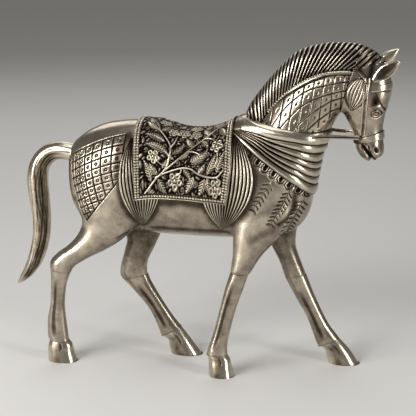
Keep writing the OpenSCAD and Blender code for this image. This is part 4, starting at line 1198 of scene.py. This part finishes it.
# The back of a sheet needs few points: here every 8th of its face.
WIDE_STEP = 8
from_side = np.minimum(p_mm, CLOTH_W - p_mm)
from_hem = CLOTH_L - q_mm
relief = np.where((from_side < RAIL) | (from_hem < HEM_RAIL), RAIL_HIGH, relief)
relief = np.where((from_side < RIM) | (from_hem < RIM), RIM_HIGH, relief)
for name, turn in SIDES.items():
    shape = sheet(cloth(GROUND + relief) * turn, cloth(-BACK) * turn, WIDE_STEP)
    cast_piece("saddle_cloth_" + name, shape, 1.02 - relief / 1.15, "oxidised_relief",
               "saddle_panel_" + name, 70)

# %% [markdown]
# ### Beads
# Rows of beads edge the cloth, and a finer row edges the band on the neck. Beads repeat along a path, so
# Geometry Nodes set them: the path is measured off at the bead pitch and a small ball stands at each mark.

# %% Bead rows with Geometry Nodes
BEAD_LINES = (1.5, 4.1)
HEM_LINE = 1.9
BEAD_SEAT = 0.5
BEAD_PATINA = 0.05
# Pitch and radius.
CLOTH_BEAD = (2.5, 1.2)
CREST_BEAD = (2.4, 1.0)


def bead_tree():
    tree = bpy.data.node_groups.new("bead_row", "GeometryNodeTree")
    for label, kind in (("Path", "Geometry"), ("Pitch", "Float"), ("Radius", "Float"),
                        ("Finish", "Material")):
        tree.interface.new_socket(label, in_out="INPUT", socket_type="NodeSocket" + kind)
    tree.interface.new_socket("Beads", in_out="OUTPUT", socket_type="NodeSocketGeometry")
    given = add_node(tree, "NodeGroupInput").outputs
    path = add_node(tree, "GeometryNodeMeshToCurve", {"Mesh": given["Path"]})
    marks = add_node(tree, "GeometryNodeResampleCurve",
                     {"Curve": path.outputs["Curve"], "Length": given["Pitch"]}, mode="LENGTH")
    ball = add_node(tree, "GeometryNodeMeshUVSphere", {"Segments": 8, "Rings": 6, "Radius": given["Radius"]})
    rows = add_node(tree, "GeometryNodeInstanceOnPoints",
                    {"Points": marks.outputs["Curve"], "Instance": ball.outputs["Mesh"]})
    real = add_node(tree, "GeometryNodeRealizeInstances", {"Geometry": rows.outputs["Instances"]})
    done = add_node(tree, "GeometryNodeSetMaterial",
                    {"Geometry": real.outputs["Geometry"], "Material": given["Finish"]})
    add_node(tree, "NodeGroupOutput", {"Beads": done.outputs["Geometry"]})
    return tree


beads = bead_tree()


def bead_rows(name, paths, pitch, radius):
    """One mesh of beads along several paths."""
    starts = np.cumsum([0] + [len(path) for path in paths[:-1]])
    links = [(s + k, s + k + 1) for s, path in zip(starts, paths) for k in range(len(path) - 1)]
    holder = add_object("path", as_mesh("path", np.concatenate(paths), [], links))
    setter = holder.modifiers.new("beads", "NODES")
    setter.node_group = beads
    values = {"Pitch": pitch * MM, "Radius": radius * MM, "Finish": finishes["oxidised_relief"]}
    for item in beads.interface.items_tree:
        if item.in_out == "INPUT" and item.name in values:
            setter[item.identifier] = values[item.name]
    made = modified(holder)
    set_patina(made, np.full(len(made.vertices), BEAD_PATINA))
    finish_piece(name, made, "oxidised_relief", sharp=180)


cloth_top = cloth(GROUND + BEAD_SEAT)
hem_row = int(round((1 - HEM_LINE / CLOTH_L) * PANEL_STEPS))
columns = [int(round(v / CLOTH_W * PANEL_STEPS)) for v in BEAD_LINES]
columns += [PANEL_STEPS - c for c in columns]
for name, turn in SIDES.items():
    paths = [cloth_top[4:hem_row - 4, c] * turn for c in columns]
    paths.append(cloth_top[hem_row, columns[0]:columns[2]] * turn)
    bead_rows("cloth_beads_" + name, paths, *CLOTH_BEAD)
crest = dense(neck_line[1:, [2, 5, 3]]) + np.array([0, 0.8, -0.8])
bead_rows("crest_beads", [crest, mirrored(crest)], *CREST_BEAD)

# %% [markdown]
# ## Girth fans
# From the cloth's edges fluted girths sweep down and gather to a point low on the belly. A fan is drawn in
# side view, with flutes that run like meridians from its top to its tip, and it sinks where the cloth covers
# it. It is then laid on the finished skin by casting rays at it, so it sits on the muscle whatever its form.

# %% Laying a sheet on the skin
RAY_FROM = 25
RAY_LONG = 45


def facing(way, out):
    """The directions, or their opposites if they mostly point against out."""
    return -way if (out * way).sum() < 0 else way


def laid(base, blur=6):
    """Points and outward directions of a grid, moved along those directions onto the skin."""
    way = direction(np.cross(np.gradient(base, axis=0), np.gradient(base, axis=1)))
    centre = np.array([base[..., 0].mean(), 0.0, base[..., 2].mean()])
    way = facing(way, base - centre)
    reach = np.zeros(base.shape[:2])
    for k in np.ndindex(reach.shape):
        hit = skin_tree.ray_cast(Vector(base[k] + way[k] * RAY_FROM), Vector(-way[k]), RAY_LONG)
        if hit[0] is not None:
            reach[k] = RAY_FROM - hit[3]
    for _ in range(blur):
        grown = np.pad(reach, 1, mode="edge")
        reach = (grown[:-2, 1:-1] + grown[2:, 1:-1] + grown[1:-1, :-2] + grown[1:-1, 2:] + reach * 2) / 6
    return base + way * reach[..., None], way


print("rays start", RAY_FROM, "mm outside")

# %% Fans
FAN_T = 0.5
FAN_RIB = 1.4
FAN_PITCH = 2.6
FLUTE_STEPS = 12
BACK_STEP = 6
FAN_ROWS = 97
UNDER = 0.3
HIDDEN = -0.5
TOP_HALF = 0.8
TIP_HALF = 1.6
cloth_base = cloth(0.0)
cloth_rear, cloth_front, cloth_hem = cloth_base[::-1, 0].T, cloth_base[::-1, -1].T, cloth_base[-1].T
fans = {
    "rear": dict(top=(-56.5, 217), outer=(-80, 172), inner=(-3, 185), tip=(-46.5, 139), flutes=12,
                 edge=cloth_rear),
    "front": dict(top=(37, 227), outer=(82, 178), inner=(-11, 183), tip=(27.5, 139), flutes=14,
                  edge=cloth_front)}


def fan_place(fan, a, d):
    top, outer, inner, tip = (np.array(fan[k], float) for k in ("top", "outer", "inner", "tip"))
    spread = np.sign(inner[0] - outer[0]) * np.stack([2 * a - 1, np.zeros_like(a)], -1)
    bend = outer + (inner - outer) * a[..., None]
    d = d[..., None]
    top, tip = top + TOP_HALF * spread, tip + TIP_HALF * spread
    return top * (1 - d) ** 2 + 2 * bend * d * (1 - d) + tip * d ** 2


def edge_x(edge, z):
    return np.interp(z, edge[2], edge[0])


def under_cloth(x, z):
    """Where the saddle cloth lies over a girth."""
    beside = (x > edge_x(cloth_rear, z) + UNDER) & (x < edge_x(cloth_front, z) - UNDER)
    return beside & (z > np.interp(x, cloth_hem[0], cloth_hem[2]) + UNDER)


for title, fan in fans.items():
    a, d = shares(fan["flutes"] * FLUTE_STEPS + 1, FAN_ROWS)
    x, z = np.moveaxis(fan_place(fan, a, d), -1, 0)
    flute = np.abs(np.sin(np.pi * a * fan["flutes"])) ** 1.2
    worn = unit(1.2 - flute * 1.35) + 0.6 * unit(1 - d / 0.3) + 0.3 * cut(x - edge_x(fan["edge"], z), 6.0)
    for name, turn in SIDES.items():
        base, way = laid(skin_point(trunk, TRUNK_SQUARE, x, z) * turn)
        pitch = np.linalg.norm(np.gradient(base, axis=1), axis=-1) * FLUTE_STEPS
        rib = FAN_RIB * np.clip(pitch / FAN_PITCH, 0.2, 1)
        thick = np.where(under_cloth(x, z), HIDDEN, FAN_T + rib * flute)
        shape = sheet(base + way * thick[..., None], base - way * BACK, BACK_STEP)
        cast_piece(title + "_fan_" + name, shape, worn, "oxidised_relief", title + "_girth_fan_" + name)

# %% [markdown]
# ## Breast drape
# A folded cloth, cast in metal, runs from the withers round the chest: a smooth roll along the neck and six
# pleats under it. The fold lines are drawn in side view, gathered at the withers, and carried round the chest
# from there. Near the withers the folds are thin ridges, and at the chest they fill out to rounded bands.

# %% Drape
drape_rows = np.vstack([trunk, [118.5, 230.5, 42, 241, 24, 0.2]])
DRAPE_X = (33.8, 55.2, 73.3, 94.5)
# Heights of each fold line at those places, from the lowest to the roll's upper edge.
fold_heights = [(226.5, 208.7, 196.2, 181), (227, 216.1, 203.1, 190.2), (227.2, 218.2, 206.6, 195.6),
                (227.4, 220.8, 210.9, 202.1), (227.5, 222.5, 214.7, 207.2), (227.8, 224.2, 218.6, 213.6),
                (228, 226, 222.9, 220.2), (237.2, 236.3, 233.1, 229.6)]
# Where the same lines cross the chest's middle, in trunk stations.
fold_ends = [14.1, 14.7, 15.14, 15.63, 16.05, 16.65, 17.55, 18.9]
DRAPE_T = 1.1
FOLD = 2.0
FLANK, CHEST, PER_FOLD = 128, 72, 24
lines = np.arange(len(fold_ends))
row = np.linspace(0, lines[-1], lines[-1] * PER_FOLD + 1)
line_x = sampled(np.array(DRAPE_X)[:, None], FLANK + 1)[:, 0]
line_z = sampled(np.array(fold_heights).T, FLANK + 1)
side_z = np.stack([np.interp(row, lines, heights) for heights in line_z], 1)
side_x = np.repeat(line_x[None, :], len(row), 0)
near_flank = skin_point(drape_rows, TRUNK_SQUARE, side_x, side_z)
turn_x, turn_z = side_x[:, -1:], side_z[:, -1:]
from_station = place(drape_rows, turn_x, turn_z)
from_angle = skin_angle(curve(drape_rows, from_station), turn_x, turn_z, TRUNK_SQUARE)
run = np.linspace(0, 1, CHEST + 1)[1:]
chest_angle = from_angle + (np.pi - from_angle) * run
chest_at = from_station + (np.interp(row, lines, fold_ends)[:, None] - from_station) * run
near_chest = oval(curve(drape_rows, chest_at), chest_angle, TRUNK_SQUARE)
flank = np.concatenate([near_flank, near_chest], 1)
flank[..., 1] = np.maximum(flank[..., 1], 0)
print("drape grid:", flank.shape[:2])

# %% Folds of the drape
along = np.linspace(0, 1, flank.shape[1])[None, :]
row = row[:, None]
filled = unit((along - 0.12) / 0.5)
grown = unit(along / 0.1) ** 0.7
roll = row > lines[-2]
wave = np.abs(np.sin(np.pi * row)) ** (2.6 - 2.15 * filled)
roll_wave = np.sin(np.pi * unit(unit(row - lines[-2]) * 0.92 + 0.06)) ** 0.55
swell = np.where(roll, 1.25 * roll_wave, wave * (0.55 + 0.45 * filled)) * grown
fold_dark = np.where(roll, unit(0.9 - roll_wave * 1.5), unit(1.3 - wave * 1.55) * (1 - 0.2 * filled))
clear = unit(along / np.where(row < 1.2, 0.07, 0.2))
fold_dark = 0.45 + (fold_dark - 0.45) * clear
thick = DRAPE_T * (0.2 + 0.8 * grown) + FOLD * swell
for name, turn in SIDES.items():
    base, way = laid(flank * turn, 40)
    way[:, -1, 1] = 0
    base[:, -1, 1] = 0
    shape = sheet(base + way * thick[..., None], base - way * BACK, WIDE_STEP)
    cast_piece("folded_drape_" + name, shape, fold_dark, "polished_casting", "breast_drape_" + name)

# %% [markdown]
# ## Head
# The head is a solid casting. Its eye, nostril, lips, the fluted leaf on the cheek and the plate on the
# forehead are chased into it, so they are raised and cut on one fine loft, from their places in side view.

# %% Relief of the head
SHELL_AT = (144.4, 262.8)
SHELL_HALF = (9.8, 15.2)
SHELL_LEAN = (0.34, 0.94)
SHELL_FLUTES = 3.3
EYE_AT = (161.8, 246.2)
EYE_RINGS = (1.9, 4.2)
BROW = [(154.5, 250), (158.5, 252.8), (164.5, 252.8), (168.5, 250)]
BROW_SHADE_AT = (161.3, 257)
PLATE_AT = (160.8, 265.5)
PLATE_LEAN = (16.0, 7.2)
PLATE_Z = (248, 266)
POLL_STRAP = [(142.5, 287), (155, 273.4)]
MOUTH = dense([(158.6, 200), (157, 207.5), (153.6, 212.5), (150, 217.2)])
LIPS = dense([(160.6, 205.5), (157, 211.5), (155.6, 216.8)])
NOSTRIL_AT = (162.2, 213.4)
CROWN = ([138, 150, 158, 166], [283.5, 286.5, 289, 291.5])
TUFT_PITCH = 4.2
BEHIND_EAR = [(158, 292), (156.5, 284), (155.5, 277)]
POLL_AT = (145.5, 285)


def head_relief(x, z):
    """Height in mm and patina of the chased face, with painted shade above the eye and beside the cheek leaf,
    at a place in side view, and the mouth's slit.
    """
    def away(spot):
        return x - spot[0], z - spot[1]

    dx, dz = away(SHELL_AT)
    b = dx * SHELL_LEAN[0] + dz * SHELL_LEAN[1]
    a = dx * SHELL_LEAN[1] - dz * SHELL_LEAN[0]
    share = unit(np.abs(b) / SHELL_HALF[1])
    wide = SHELL_HALF[0] * np.where(b > 0, np.sqrt(1 - share ** 2), 1 - share ** 1.7) + 0.05
    e = np.abs(a) / wide
    flute = np.abs(np.sin(np.pi * SHELL_FLUTES * a / wide)) ** 0.7
    shell = (e < 1) & (share < 1)
    # A dark halo round the cheek leaf, full on its rear side: painted shade between neck and leaf.
    rim = np.where(share < 1, cut((e - 1.06) * wide, 0.9), 0) * unit(1.0 - a / 5)
    ex, ez = away(EYE_AT)
    eye = np.hypot(ex / 1.05, (ez - 0.12 * ex) / 0.85)
    rings = np.maximum(*[cut(eye - r, 0.4) for r in EYE_RINGS])
    brow = cut(route_distance(x, z, BROW), 1.2)
    # Painted shade above the eye, between brow and browband: the colour is darkened there, the face is not
    # sunk.
    sx, sz = away(BROW_SHADE_AT)
    socket = cut(np.hypot(sx / 3.2, sz / 5.6), 1.0) * (1 - brow)
    px, pz = away(PLATE_AT)
    edge = px * PLATE_LEAN[0] + pz * PLATE_LEAN[1]
    level = within(z, PLATE_Z)
    strap = route_distance(x, z, POLL_STRAP)
    mouth = route_distance(x, z, MOUTH)
    lips = route_distance(x, z, LIPS)
    nx, nz = away(NOSTRIL_AT)
    nostril = np.hypot(nx * 0.9 + nz * 0.35, (nz * 0.9 - nx * 0.35) / 1.6)
    crown = (z > np.interp(x, *CROWN)) & (x < CROWN[0][-1])
    tx, tz = away(head_line[0, 2:4])
    tuft = np.abs(np.sin(np.pi * (tx * 0.69 - tz * 0.73) / TUFT_PITCH)) ** 1.6
    height = np.where(shell, 1.2 * np.sqrt(unit(1 - e ** 3)) + 0.8 * flute * unit(3 - 3 * e), 0)
    height += 0.9 * cut(eye, 1.1) - 0.7 * rings + 0.6 * brow + np.where(level & (edge > 0), 0.6, 0)
    height += cut(strap, 1.0) - 1.1 * cut(lips, 0.8) + 0.8 * cut(mouth - 2.5, 1.0)
    height += 0.35 * cut(nostril - 2.3, 0.9) - 1.6 * cut(nostril, 1.2) + np.where(crown, 1.2 * tuft - 0.4, 0)
    # Oxide in the cuts, and painted shade above the eye and beside the cheek leaf.
    patina_and_painted_shade = np.maximum.reduce([
        np.where(shell, unit(1.1 - flute * 1.3), 0.9 * rim), rings * 0.85, 0.9 * socket,
        np.where(level & (z > PLATE_Z[0] + 0.5), 0.85 * cut(edge / 17.5, 0.5), 0),
        0.9 * cut(strap - 1.7, 0.5), 0.8 * cut(mouth, 1.2), 0.8 * cut(lips, 0.8), cut(nostril, 1.5),
        np.where(crown, unit(1.2 - 1.2 * tuft), 0),
        0.85 * cut(route_distance(x, z, BEHIND_EAR), 2.4), 0.8 * cut(np.hypot(*away(POLL_AT)), 3.0)])
    return height, patina_and_painted_shade, -2.8 * cut(mouth, 1.3)


print("eye at", EYE_AT)

# %% Head casting
HEAD_ROWS = 300
HEAD_SIDES = 200
MUZZLE_ROWS = 10
MUZZLE_DROP = np.array([0, 0, -1.2])
TOP_OF_FACE = 283
FACE_SIDE = (0.1, 0.25)
rings = oval(sampled(head_line, HEAD_ROWS)[:, None, :], circle(HEAD_SIDES), HEAD_SQUARE)
turn = np.linspace(0, np.pi / 2, MUZZLE_ROWS + 1)[1:, None, None]
centre = rings[-1:].mean(1, keepdims=True)
cap = centre + (rings[-1:] - centre) * (0.15 + 0.85 * np.cos(turn)) + MUZZLE_DROP * np.sin(turn)
rings = np.concatenate([rings, cap])
way = direction(np.cross(np.gradient(rings, axis=0), np.roll(rings, -1, 1) - np.roll(rings, 1, 1)))
way = facing(way, rings - rings.mean(1, keepdims=True))
height, patina_and_painted_shade, slit = head_relief(rings[..., 0], rings[..., 2])
on_face = np.where(rings[..., 2] > TOP_OF_FACE, 1.0, side_share(way, *FACE_SIDE))
shape = loft(rings + way * (height * on_face + slit)[..., None])
cast_piece("chased_head", shape, 0.12 + patina_and_painted_shade * on_face, "antique_casting", "head", 180)

# %% [markdown]
# ## Ears
# An ear is a cupped leaf: its back bulges, its hollow stays dark and its rim is buffed bright.

# %% Ears
# Foot and tip, both given on the left.
ear_lines = {"right": ((158.6, 14.6, 275.6), (181, 13, 293)),
             "left": ((158.5, 10.2, 284.2), (176.5, 13, 300.5))}
# Share of the length, half height, depth of the back and depth of the hollow.
ear_leaf = [[0, 1.6, 2.6, 0.3], [0.18, 4.0, 3.3, 1.2], [0.42, 5.8, 3.4, 2.2], [0.66, 4.9, 2.9, 1.8],
            [0.86, 2.7, 2, 1.1], [1, 0.7, 0.9, 0.3]]
EAR_RIM = 0.9
EAR_FOLD = 0.4
EAR_ROWS = 90
EAR_SIDES = 37
s = sampled(ear_leaf, EAR_ROWS)
arc = np.linspace(-np.pi / 2, np.pi / 2, EAR_SIDES)[None, :]
inner = np.maximum(s[:, 1] / 2, s[:, 1] - EAR_RIM)[:, None]
deep = unit(np.cos(arc) * 1.5) * unit(np.sin(np.pi * unit(s[:, 0:1])) * 1.6)
worn = np.concatenate([np.full(deep.shape, 0.05), 0.7 * deep], 1)
for name, (base, tip) in ear_lines.items():
    line = np.subtract(tip, base)
    long = np.linalg.norm(line)
    along = np.repeat(s[:, 0:1] * long, arc.shape[1], 1)
    back = np.stack([along, -s[:, 2:3] * np.cos(arc), s[:, 1:2] * np.sin(arc)], -1)
    bowl = np.stack([along, EAR_FOLD - s[:, 3:4] * np.cos(arc), -inner * np.sin(arc)], -1)
    rise, heading = math.asin(line[2] / long), math.atan2(line[1], line[0])
    c, e = math.cos(rise), math.sin(rise)
    tilt = np.array([[c, 0, -e], [0, 1, 0], [e, 0, c]])
    c, e = math.cos(heading), math.sin(heading)
    swing = np.array([[c, -e, 0], [e, c, 0], [0, 0, 1]])
    rings = np.concatenate([back, bowl], 1) @ (swing @ tilt).T + np.array(base)
    cast_piece("leaf_ear_" + name, loft(rings * SIDES[name]), worn, "polished_casting", "ear_" + name)

# %% [markdown]
# ## Bridle
# The straps are cast lying on the head. A cheek strap is flat with a thin strand along each edge, so it is a
# narrow sheet whose height is a wave across its width. The browband and noseband are plain, the noseband goes
# right round, and the reins are bars with a groove.

# %% Cheek straps
STRAP_W = 5.0
STRAP_T = 1.0
STRAP_GAP = 0.25
STRAP_SEAT = -0.5
STRAP_BASE = 0.35
STRAP_GRID = (25, 121)
CHEEK_TOP = (153.8, 277.5)
CHEEK_FOOT = (150, 226.8)


def on_head(x, z, grow):
    return skin_point(head_line, HEAD_SQUARE, x, z, grow)


share, f = shares(*STRAP_GRID)
x = CHEEK_TOP[0] + (CHEEK_FOOT[0] - CHEEK_TOP[0]) * f + STRAP_W * (share - 0.5)
z = CHEEK_TOP[1] + (CHEEK_FOOT[1] - CHEEK_TOP[1]) * f
wave = cut(np.abs(share - 0.5) - 0.36, 0.12)
worn = 0.55 * unit(1 - wave * 1.3)
outer, inner = on_head(x, z, STRAP_GAP + STRAP_BASE + STRAP_T * wave), on_head(x, z, STRAP_SEAT)
for name, turn in SIDES.items():
    shape = sheet(outer * turn, inner * turn, BACK_STEP)
    cast_piece("strand_cheek_" + name, shape, worn, "polished_casting", "cheek_strap_" + name)

# %% Browband
BROW_W = 6.2
BROW_T = 0.6
BROW_AT = (157.5, 268.5)
BROW_RISE = 1.7
BROW_HALVINGS = 18
BROW_BASE = 0.1
BROW_GRID = (19, 73)


def rounded(share, sharp):
    """Height across a plain band: 0 at its edges and 1 over its flat middle."""
    return unit(np.minimum(share, 1 - share) * sharp) ** 0.5


share, f = shares(*BROW_GRID)
z = BROW_AT[1] + BROW_W * (share - 0.5) + BROW_RISE * f
at = seek(head_line, z, lambda u: curve(head_line, u)[..., 3] > z, BROW_HALVINGS)
face = curve(head_line, at)[..., 2]
x = BROW_AT[0] + (face - BROW_AT[0]) * np.sin(np.pi / 2 * f)
plain = rounded(share, 7)
outer, inner = on_head(x, z, STRAP_GAP + BROW_BASE + BROW_T * plain), on_head(x, z, STRAP_SEAT)
outer, inner = (np.concatenate([half, mirrored(half[-2::-1])]) for half in (outer, inner))
worn = unit(0.9 - plain)
cast_piece("plain_browband", sheet(outer, inner, BACK_STEP), np.concatenate([worn, worn[-2::-1]]),
           "polished_casting", "browband")

# %% Noseband
NOSE_ROWS = np.linspace(7.35, 8.15, 17)
NOSE_SEAT = -0.4
NOSE_BASE = 0.2
NOSE_SIDES = 128
plain = rounded(np.linspace(0, 1, len(NOSE_ROWS)), 8)[:, None]
turn = circle(NOSE_SIDES)
band = np.concatenate([
    oval(curve(head_line, NOSE_ROWS)[:, None, :], turn, HEAD_SQUARE,
         STRAP_GAP + NOSE_BASE + STRAP_T * plain),
    oval(curve(head_line, NOSE_ROWS[::-4])[:, None, :], turn, HEAD_SQUARE, NOSE_SEAT)])
rows, sides = band.shape[:2]
faces = grid_faces(rows + 1, sides, True) % (rows * sides)
worn = unit(0.95 - plain) + 0.75 * unit(0.1 - 2 * np.cos(turn))
cast_piece("plain_noseband", (band.reshape(-1, 3), faces.tolist()), worn, "polished_casting", "noseband")

# %% Reins
rein_route = [[98, 22, 225], [107, 22, 224.8], [116, 19, 225], [127, 15.4, 224.9], [138, 13.2, 224.7],
              [147.5, 13, 224.6]]
REIN_H = 4.0
REIN_T = 3.0
REIN_ROWS = 90
REIN_SIDES = 48
spine = sampled(rein_route, REIN_ROWS)[:, None, :]
turn = circle(REIN_SIDES)[0]
groove = cut(np.abs(np.sin(turn)), 0.28)
ring = np.stack([0 * turn, -REIN_T / 2 * np.cos(turn) * (1 - 0.5 * groove), REIN_H / 2 * np.sin(turn)], -1)
worn = 0.95 * groove * unit(np.linspace(-1.2, 5, REIN_ROWS))[:, None]
for name, turn in SIDES.items():
    cast_piece("strand_rein_" + name, loft((spine + ring) * turn), worn, "polished_casting", "rein_" + name)

# %% [markdown]
# ## Seam dowels
# Four steel pins lie hidden in the body's bosses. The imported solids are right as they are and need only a
# finish.

# %% Dowels
MARKS_MM = 0.3


def plain_surface(name, rough):
    """A new material with its tree and shader."""
    material = bpy.data.materials.new(name)
    material.use_nodes = True
    shader = material.node_tree.nodes["Principled BSDF"].inputs
    shader["Roughness"].default_value = rough
    return material, material.node_tree, shader


# Ground silver steel: grinding marks run round the pin.
ground_steel, tree, shader = plain_surface("silver_steel_ground", 0.35)
shader["Metallic"].default_value = 1.0
spot = add_node(tree, "ShaderNodeTexCoord").outputs["Object"]
marks = add_node(tree, "ShaderNodeTexWave", {
    "Vector": spot, "Scale": 1 / (6 * MARKS_MM * MM), "Distortion": 2.0}, bands_direction="Y")
shade = add_node(tree, "ShaderNodeValToRGB", {"Fac": marks.outputs["Fac"]})
for stop, code in zip(shade.color_ramp.elements, ("#7d7f82", "#a3a5a8")):
    stop.color = linear(code)
tree.links.new(shade.outputs["Color"], shader["Base Color"])
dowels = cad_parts["seam_dowels"].data.materials
dowels.clear()
dowels.append(ground_steel)
print("dowels:", dowels[0].name)

# %% [markdown]
# ## Floor, light and camera
# A pale floor, five soft lamps and a plain grey world make the studio. Metal shows what surrounds it, so the
# lamps are wide: a key and two upright strips draw the bright lines on the legs, one lamp hangs over the back
# and one stands behind.

# %% Floor and world
FLOOR_HALF = 6.0
WORLD_LIGHT = 0.4
scene = bpy.context.scene
# Uncoated paper: even, pale and without gloss.
paper, _, shader = plain_surface("matt_paper", 0.7)
shader["Base Color"].default_value = linear("#dddbd7")
corners = [(a * FLOOR_HALF, b * FLOOR_HALF, 0) for a, b in ((-1, -1), (1, -1), (1, 1), (-1, 1))]
floor_mesh = bpy.data.meshes.new("floor")
floor_mesh.from_pydata(corners, [], [(0, 1, 2, 3)])
floor_mesh.materials.append(paper)
floor = add_object("floor", floor_mesh)
scene.world = bpy.data.worlds.new("studio")
scene.world.use_nodes = True
backdrop = scene.world.node_tree.nodes["Background"].inputs
backdrop["Color"].default_value = linear("#b9b8b6")
backdrop["Strength"].default_value = WORLD_LIGHT
print("floor", 2 * FLOOR_HALF, "m wide")

# %% Lamps and camera
SENSOR = 36.0
LENS = 131.0
CAMERA_AT = (0.3341, -1.3099, 0.480)
CAMERA_TO = (0.0075, 0, 0.150)
# Name, place, target, size in metres and watts.
lamps = [("key", (-0.68, -1.16, 0.84), (0, 0, 0.15), (0.55, 0.55), 12),
         ("left strip", (-0.9, -0.85, 0.3), (0, 0, 0.1), (0.25, 0.5), 7),
         ("right strip", (1.15, -0.55, 0.4), (0.05, 0, 0.1), (0.3, 0.7), 7),
         ("top", (-0.1, 0.0, 1.6), (0, 0, 0.15), (1.2, 0.7), 5),
         ("rim", (-0.5, 1.3, 1.1), (0, 0, 0.15), (1.4, 0.8), 5)]


def aim(thing, spot, target):
    thing.location = spot
    thing.rotation_euler = (Vector(target) - Vector(spot)).to_track_quat("-Z", "Y").to_euler()


for name, spot, target, size, watts in lamps:
    lamp = bpy.data.lights.new(name, "AREA")
    lamp.shape = "RECTANGLE"
    lamp.size, lamp.size_y = size
    lamp.energy = watts
    aim(add_object(name, lamp), spot, target)

lens = bpy.data.cameras.new("camera")
lens.sensor_width = SENSOR
lens.lens = LENS
scene.camera = add_object("camera", lens)
aim(scene.camera, CAMERA_AT, CAMERA_TO)
scene.view_settings.view_transform = "Standard"
print("lamps:", len(lamps), "camera at", CAMERA_AT)
